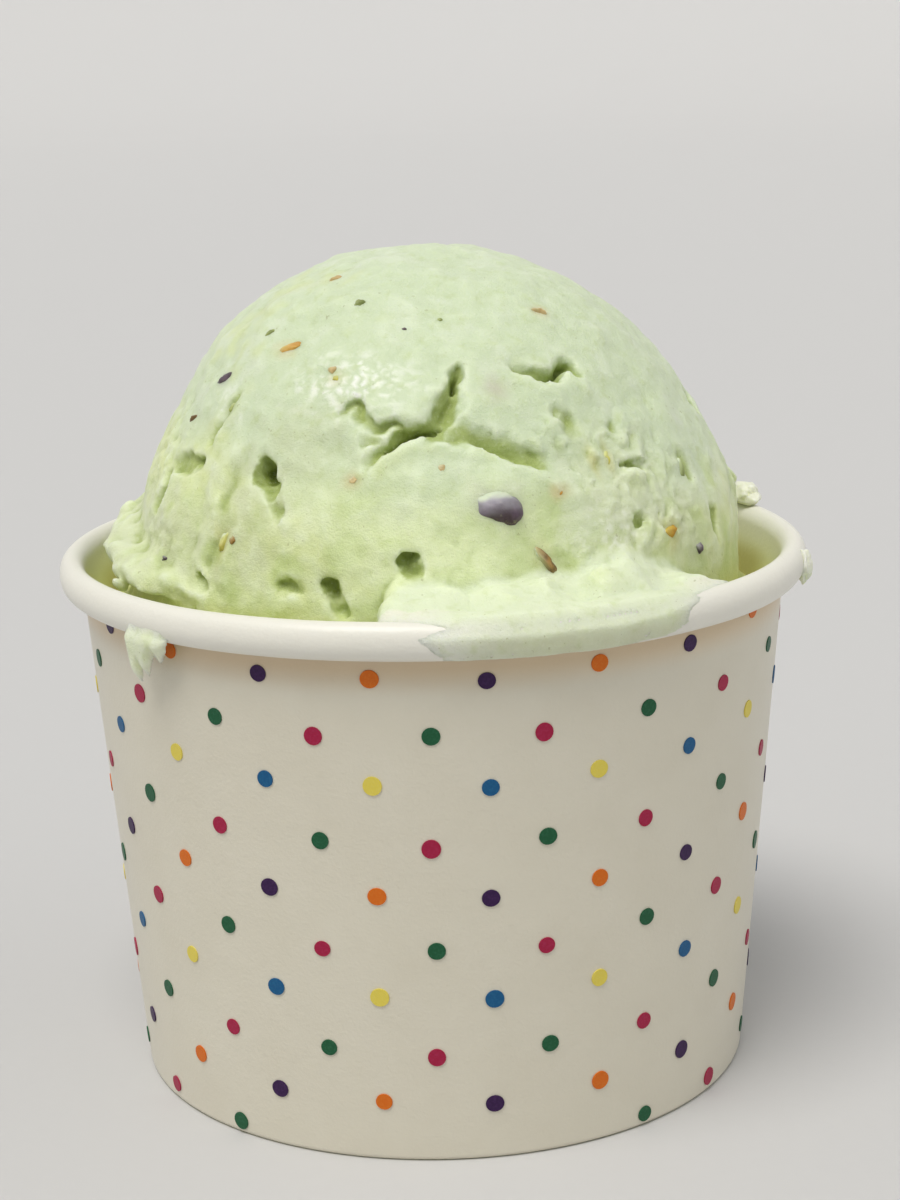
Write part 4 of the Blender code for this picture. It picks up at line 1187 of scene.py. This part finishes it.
def makeGelatoMaterial(name, clear):
    # Churned milk and ground nuts: fine ice grain, milky depth and a moist sheen that comes and goes
    material, place = newMaterial(name)
    shade = place.node("ShaderNodeAttribute", {"attribute_name": "shade"})
    iceAndGlint = place.cloud(gelatoLook["ice grain"], 5.0, 0.65)
    crystal = place.cloud(gelatoLook["crystal grain"], 2.0)
    soft = place.cloud(gelatoLook["soft grain"], 4.0)
    wet = place.cloud(3.4, 3.0)
    # Whitish ice grain with painted sparkle
    tone = (iceAndGlint.rise(0.50, 0.75) * 0.20).blend(shade, srgb(244, 248, 232))
    tone = (soft.rise(0.50, 0.78) * 0.30).blend(tone, srgb(182, 198, 116))
    speck = place.cloud(0.42, 1.0).rise(0.705, 0.745) * place.cloud(5.0).rise(0.45, 0.6)
    tone = (speck * 0.35).blend(tone, srgb(146, 144, 74))
    roughness = 0.46 - wet.rise(0.42, 0.66) * 0.16 + iceAndGlint * 0.16
    height = iceAndGlint * 0.55 + soft * 0.6 + crystal * 0.28
    fixed = {
        "Specular IOR Level": 0.42, "IOR": 1.36, "Subsurface Weight": 0.55 + clear * 0.2,
        "Subsurface Radius": (1.0, 1.0, 0.75), "Subsurface Scale": 0.0014,
        "Coat Weight": 0.12 + clear * 0.3, "Coat Roughness": 0.25,
    }
    finishMaterial(place, fixed, tone, roughness, height, gelatoLook["relief"])
    return material


gelatoFinish = makeGelatoMaterial("nut gelato", 0.0)
meltFinish = makeGelatoMaterial("melting gelato", 1.0)


def fillOutline():
    # The gelato inside the tub, under the part that is meshed from the field
    room = cup["paper"] + scoop["wall gap"]
    low, high = scoop["fill bottom"], scoop["cut"] + 0.1
    outline = [(0.02, high), (wallRadius(high) - room, high)]
    outline += [(wallRadius(low) - room - 0.15, low + 0.2), (wallRadius(low) - room - 0.5, low), (0.02, low)]
    return outline


def joinMeshes(name, pieces):
    made = bmesh.new()
    for piece in pieces:
        made.from_mesh(piece.data)
    mesh = bpy.data.meshes.new(name)
    made.to_mesh(mesh)
    made.free()
    for piece in pieces:
        bpy.data.objects.remove(piece, do_unlink=True)
    return meshObject(name, mesh)


def makeGelato():
    mesh = meshField("gelatoTop", scoop["low"], scoop["high"], scoop["grid"], gelatoOnGrid)
    top = meshObject("gelatoTop", mesh)
    thinOut(top, scoop["triangles"])
    lower = turnOutline("gelatoFill", fillOutline(), gelatoFinish)
    piece = joinMeshes("gelatoBody", [top, lower])
    piece.data.materials.clear()
    piece.data.materials.append(gelatoFinish)
    paintGelato(piece)
    print("gelato painted:", len(piece.data.polygons), "faces")
    return piece


gelatoBody = makeGelato()
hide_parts("gelato")
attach(gelatoBody, "root")


# Melted gelato on the rim: a flake that hangs on the left, a crumb at the back and a drop on the right

drip = {
    "azimuth": [-50.0, -49.1, -48.3, -47.4, -46.6, -45.6, -44.6, -43.5, -42.4, -41.2, -40.2],
    "lower": [51.8, 49.8, 47.0, 45.7, 48.1, 46.4, 48.3, 49.0, 48.4, 49.8, 51.8],
    "top": 54.3, "thick": 1.0, "film": 0.5, "grid": 0.14, "soft edge": 1.5,
    "sinks": [(0.25, 50.8, 0.8), (0.75, 50.5, 3.2)], "hangs from": 51.38, "hangs at": -0.574, "hangs in": 0.12,
    "low": (-31.5, -33.0, 44.8), "high": (-21.0, -22.0, 54.9),
}


def dripField(points):
    wander, soft = wanderNoise(points, 0.9, 60), wanderNoise(points, 2.2, 63)
    moved = points + wander * 0.12 + soft * 0.4
    around = np.hypot(points[:, 0], points[:, 1]) + soft[:, 0] * 0.25
    azimuth = np.degrees(np.arctan2(moved[:, 0], -moved[:, 1]))
    height = moved[:, 2]
    perDegree = math.radians(1) * cup["rim radius"]
    lower = sum(np.interp(azimuth + turn, drip["azimuth"], drip["lower"]) for turn in (-0.3, 0, 0.3)) / 3
    first, last = drip["azimuth"][0], drip["azimuth"][-1]
    inside = np.minimum((azimuth - first) * perDegree, (last - azimuth) * perDegree)
    inside = np.minimum(inside, np.minimum((height - lower) * 0.75, (drip["top"] - height) * 0.5))
    level = np.clip((height - rimMiddleHeight) / cup["rim half height"], drip["hangs at"], 1)
    skin = rimMiddleRadius + cup["rim half width"] * np.sqrt(1 - level ** 2)
    # Its inner face sinks into the rim towards its top, and hangs nearly straight below the rim
    for depth, start, rise in drip["sinks"]:
        skin = skin - depth * smoothStep((height - start) / rise)
    skin = skin - drip["hangs in"] * np.maximum(drip["hangs from"] - height, 0)
    full = smoothStep(inside / drip["soft edge"]) ** 0.7
    onRim = smoothStep((height - 50.4) / 2.2)
    half = (drip["thick"] * (1 - onRim) + drip["film"] * onRim) / 2 * full
    field = np.abs(around - skin - half) - half
    return np.maximum(field, -inside * 0.7)


def keepLargest(piece):
    # Drops the loose scraps that a ragged edge leaves
    made = bmesh.new()
    made.from_mesh(piece.data)
    left = set(made.verts)
    islands = []
    while left:
        seed = left.pop()
        island, front = {seed}, [seed]
        while front:
            for edge in front.pop().link_edges:
                for vert in edge.verts:
                    if vert in left:
                        left.discard(vert)
                        island.add(vert)
                        front.append(vert)
        islands.append(island)
    largest = max(islands, key=len)
    bmesh.ops.delete(made, geom=[v for v in made.verts if v not in largest], context="VERTS")
    made.to_mesh(piece.data)
    made.free()


def lumpShape(spot, outward, halves, seed, facets=0, lean=0.0, detail=4, rough=0.28):
    # An uneven lump: an icosphere with noise, cut by a few seeded planes where it is a broken nut.
    # Gives its points in metres, its faces and, for each point, its direction: across, up and outwards
    draw = np.random.default_rng(seed)
    made = bmesh.new()
    bmesh.ops.create_icosphere(made, subdivisions=detail, radius=1)
    planes = []
    for _ in range(facets):
        way = Vector(draw.normal(size=3)).normalized()
        planes.append((way, 0.60 + 0.3 * draw.random()))
    side = outward.cross(Vector((0, 0, 1))).normalized() * -1
    up = outward.cross(side)
    turn = Matrix((side, up, outward)).transposed() @ Matrix.Rotation(math.radians(lean), 3, "Z")
    shift = Vector(draw.normal(size=3)) * 10
    ways = [vert.co.copy() for vert in made.verts]
    for vert, way in zip(made.verts, ways):
        swell = 1 + rough * noise.noise(way * 1.3 + shift)
        point = way * (swell + rough * 0.4 * noise.noise(way * 3.1 + shift))
        for face, level in planes:
            over = point.dot(face) - level
            if over > 0:
                point -= face * over * 0.85
        vert.co = (spot + turn @ Vector([point[n] * halves[n] for n in range(3)])) * mm
    bmesh.ops.recalc_face_normals(made, faces=made.faces)
    verts = [tuple(vert.co) for vert in made.verts]
    faces = [[vert.index for vert in face.verts] for face in made.faces]
    made.free()
    return verts, faces, ways


def pieceFromLumps(name, lumps, clingAndLight=0.0):
    # One piece for many lumps. Its attribute says how much gelato clings to each point, and carries painted
    # light and shade too: more covered and lighter on the upper left, bare and dark on the lower right
    verts, faces, cover = [], [], []
    for lumpVerts, lumpFaces, ways in lumps:
        faces += [[len(verts) + i for i in face] for face in lumpFaces]
        verts += lumpVerts
        for way in ways:
            patch = noise.noise(way * 2.2 + Vector(lumpVerts[0]) * 900)
            # Painted light and shade as well as cling: the lower right is left bare and dark, the upper left
            # covered and light
            bare = 0.5 + 0.46 * way.x - 0.54 * way.y + 0.12 * patch - clingAndLight
            cover.append(float(1 - smoothStep(bare)))
    mesh = bpy.data.meshes.new(name)
    mesh.from_pydata(verts, [], faces)
    mesh.attributes.new("clingAndLight", "FLOAT", "POINT").data.foreach_set("value", cover)
    mesh.shade_smooth()
    return meshObject(name, mesh)


def finishMelt(piece, node):
    piece.data.materials.clear()
    piece.data.materials.append(meltFinish)
    paintMelt(piece)
    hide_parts(node)
    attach(piece, "root")


dripMesh = meshField("gelatoDripLeft", drip["low"], drip["high"], drip["grid"], dripField)
dripLeft = meshObject("gelatoDripLeft", dripMesh)
keepLargest(dripLeft)
finishMelt(dripLeft, "gelato_drip_left")
crumbs = {
    "gelatoBitRight": {"node": "gelato_bit_right", "place": (112.0, 36.4, 55.2), "halves": (2.5, 1.2, 1.4)},
    "gelatoDropRight": {"node": "gelato_drop_right", "place": (76.0, 38.0, 52.1), "halves": (1.3, 1.7, 0.75)},
}
for seed, (name, crumb) in enumerate(crumbs.items()):
    azimuth = crumb["place"][0]
    spot, outward = atAzimuth(*crumb["place"]), atAzimuth(azimuth, 1, 0)
    lump = lumpShape(spot, outward, crumb["halves"], seed + 30, detail=5)
    finishMelt(pieceFromLumps(name, [lump]), crumb["node"])
print("drips and crumbs made")


# Nuts: chopped pieces that stand out of the gelato, each at its place on the scoop

# Each: colour, skin, the gelato that clings to it, grain in millimetres, how bare it is
nutKinds = {
    "Purple": ((88, 68, 86), (60, 38, 46), (176, 174, 182), 0.6, -0.06),
    "Dark": ((104, 88, 98), (74, 60, 70), (180, 184, 176), 0.4, -0.3),
    "Brown": ((156, 120, 60), (112, 84, 44), (206, 208, 160), 0.4, -0.3),
    "Tan": ((214, 190, 136), (190, 162, 108), (210, 216, 178), 0.5, -0.2),
    "Gold": ((196, 152, 34), (176, 128, 20), (206, 190, 92), 0.5, -0.42),
    "Orange": ((210, 166, 78), (192, 142, 54), (214, 210, 150), 0.5, -0.3),
    "Yellow": ((204, 198, 92), (180, 170, 66), (214, 222, 160), 0.5, -0.2),
    "Green": ((164, 174, 100), (126, 138, 74), (200, 212, 160), 0.4, -0.2),
}
# Each: azimuth, angle from the top, half width, half height, how far it stands out, lean
nutPlaces = {
    "Purple": [(12.2, 73.6, 2.4, 1.7, 0.18, -24)],
    "Dark": [
        (-59.1, 50.4, 1.3, 0.55, 0.2, 35), (55.8, 86.1, 0.55, 0.8, 0.15, -10),
        (-57.5, 86.0, 0.6, 0.5, 0.05, 0), (-6.7, 37.2, 0.45, 0.3, 0.06, -30)],
    "Brown": [
        (19.6, 83.0, 0.6, 1.6, 0.3, 38), (-38.8, 80.1, 0.5, 0.55, 0.15, 0),
        (-65.3, 59.7, 0.7, 0.35, 0.15, 45), (-104, 72, 1.1, 0.9, 0.3, 15), (172, 74, 1.3, 1.0, 0.4, -30)],
    "Tan": [
        (38.9, 34.7, 1.0, 0.6, 0.15, -25), (-15.0, 67.8, 0.6, 0.5, 0.0, 0), (-45.9, 23.6, 0.8, 0.5, 0.1, 30),
        (133, 38, 1.2, 0.8, 0.3, 10), (-24, 47, 0.7, 0.6, 0.03, 0), (2, 66, 0.6, 0.5, 0.02, 0)],
    "Gold": [(47.0, 82.1, 1.35, 0.85, 0.18, 12)],
    "Orange": [
        (-40.5, 42.6, 1.4, 0.65, 0.12, 45), (23.5, 71.9, 0.6, 0.5, -0.02, 0), (-150, 46, 1.0, 0.7, 0.25, 0)],
    "Yellow": [
        (-41.4, 81.2, 0.8, 1.2, 0.15, -12), (-22.2, 48.8, 0.5, 0.4, 0.05, 0),
        (36.8, 66.6, 0.45, 1.0, -0.06, -5)],
    "Green": [
        (-24.2, 31.0, 0.8, 0.45, 0.08, 40), (-52, 40, 1.2, 0.45, 0.04, 45),
        (-49.4, 56.1, 0.4, 0.6, 0.08, -15), (56.2, 72, 0.6, 1.3, 0.12, -10), (138, 62, 0.9, 1.1, 0.2, 0),
        (4.0, 35.0, 0.4, 0.3, 0.05, 0)],
}


def makeNutMaterial(name, colour, skin, cling, size):
    material, place = newMaterial(name)
    grain = place.cloud(size, 4.0)
    blotch = place.cloud(1.4, 2.0)
    tone = blotch.rise(0.4, 0.62).blend(srgb(*skin), srgb(*colour))
    tone = (grain.rise(0.55, 0.8) * 0.25).blend(tone, srgb(214, 214, 160))
    # Gelato clinging to the nut, with painted light and shade from the same attribute
    clingAndLight = place.node("ShaderNodeAttribute", {"attribute_name": "clingAndLight"}, output=2)
    tone = (clingAndLight * (0.72 + grain * 0.3)).clamp().blend(tone, srgb(*cling))
    tone = clingAndLight.rise(0.75, 1.0).blend(tone, srgb(208, 218, 190))
    fixed = {"Subsurface Weight": 0.15, "Subsurface Radius": (1.0, 0.7, 0.4), "Subsurface Scale": 0.0006,
             "Coat Weight": 0.1, "Coat Roughness": 0.3}
    finishMaterial(place, fixed, tone, grain * 0.2 + 0.44, grain, 0.0001)
    return material


def surfaceFinder(piece):
    made = bmesh.new()
    made.from_mesh(piece.data)
    tree = BVHTree.FromBMesh(made)
    made.free()
    return tree


def makeNuts():
    tree = surfaceFinder(gelatoBody)
    for order, (kind, places) in enumerate(nutPlaces.items()):
        lumps = []
        for number, (azimuth, polar, halfWide, halfHigh, out, lean) in enumerate(places):
            start = onScoop(azimuth, polar, 8)
            outward = (start - Vector((0, 0, scoop["centre"]))).normalized()
            hit = tree.ray_cast(start * mm, -outward)[0]
            depth = min(halfWide, halfHigh) * 0.9 + 0.25
            spot = hit / mm + outward * (out - depth * 0.8)
            # A whole nut is smooth, a broken one has facets
            facets, detail, rough = (0, 5, 0.12) if halfWide > 1.5 else (5, 4, 0.28)
            halves, seed = (halfWide, halfHigh, depth), order * 50 + number
            lumps.append(lumpShape(spot, outward, halves, seed, facets, lean, detail, rough))
        *look, clingAndLight = nutKinds[kind]
        piece = pieceFromLumps("nuts" + kind, lumps, clingAndLight)
        piece.data.materials.append(makeNutMaterial(kind.lower() + " nut", *look))
        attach(piece, "root")
    print("nuts set:", sum(len(places) for places in nutPlaces.values()))


makeNuts()

flecks = {
    "Brown": {"density": 9000, "size": 0.38, "seed": 3},
    "Green": {"density": 9000, "size": 0.42, "seed": 8},
    "Dark": {"density": 5000, "size": 0.34, "seed": 21},
}
fleckField = {"lowest": 57.5, "widest": 30.6, "front edge": 4.0}


def makeFleckTree():
    # Scatters ground nut over the sides and back of the scoop, half sunk and turned at random
    tree, wire, given = newTree("groundNut", ["Density", "Size"], ["Seed"])
    x, y, z = wire.node("GeometryNodeInputPosition").split()
    around = x * x + y * y
    sides = (z > fleckField["lowest"] * mm) * (around < (fleckField["widest"] * mm) ** 2)
    away = sides * (y > fleckField["front edge"] * mm)
    spots = wire.node("GeometryNodeDistributePointsOnFaces", {"distribute_method": "RANDOM"}, {
        "Mesh": given["Geometry"], "Selection": away, "Density": given["Density"], "Seed": given["Seed"]})
    turn = Wire(tree, spots.socket.node.outputs["Rotation"])
    grain = wire.node("GeometryNodeMeshIcoSphere", None, {"Radius": given["Size"], "Subdivisions": 2})
    spin = wire.node("FunctionNodeRandomValue", {"data_type": "FLOAT"},
                     {2: 0.0, 3: math.tau, "Seed": given["Seed"]}, 1)
    axis = wire.node("ShaderNodeCombineXYZ", None, {"X": 0.0, "Y": 0.0, "Z": spin})
    turned = wire.node("FunctionNodeRotateRotation", {"rotation_space": "LOCAL"}, {0: turn, 1: axis})
    size = wire.node("FunctionNodeRandomValue", {"data_type": "FLOAT_VECTOR"}, {
        0: (0.7, 0.5, 0.35), 1: (1.6, 0.9, 0.6), "Seed": given["Seed"] + 5})
    laid = wire.node("GeometryNodeInstanceOnPoints", None, {
        "Points": spots, "Instance": grain, "Rotation": turned, "Scale": size})
    endTree(wire, laid, given["Material"])
    return tree


def makeFlecks():
    tree = makeFleckTree()
    for name, spec in flecks.items():
        material = bpy.data.materials[name.lower() + " nut"]
        values = {"Density": spec["density"], "Size": spec["size"] * mm, "Seed": spec["seed"],
                  "Material": material}
        piece = runTree("flecks" + name, gelatoBody.data.copy(), tree, values)
        clingAndLight = piece.data.attributes.new("clingAndLight", "FLOAT", "POINT")
        clingAndLight.data.foreach_set("value", np.full(len(piece.data.vertices), 0.25))
        piece.data.shade_smooth()
        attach(piece, "root")
        print("flecks", name, len(piece.data.vertices) // 42)


makeFlecks()
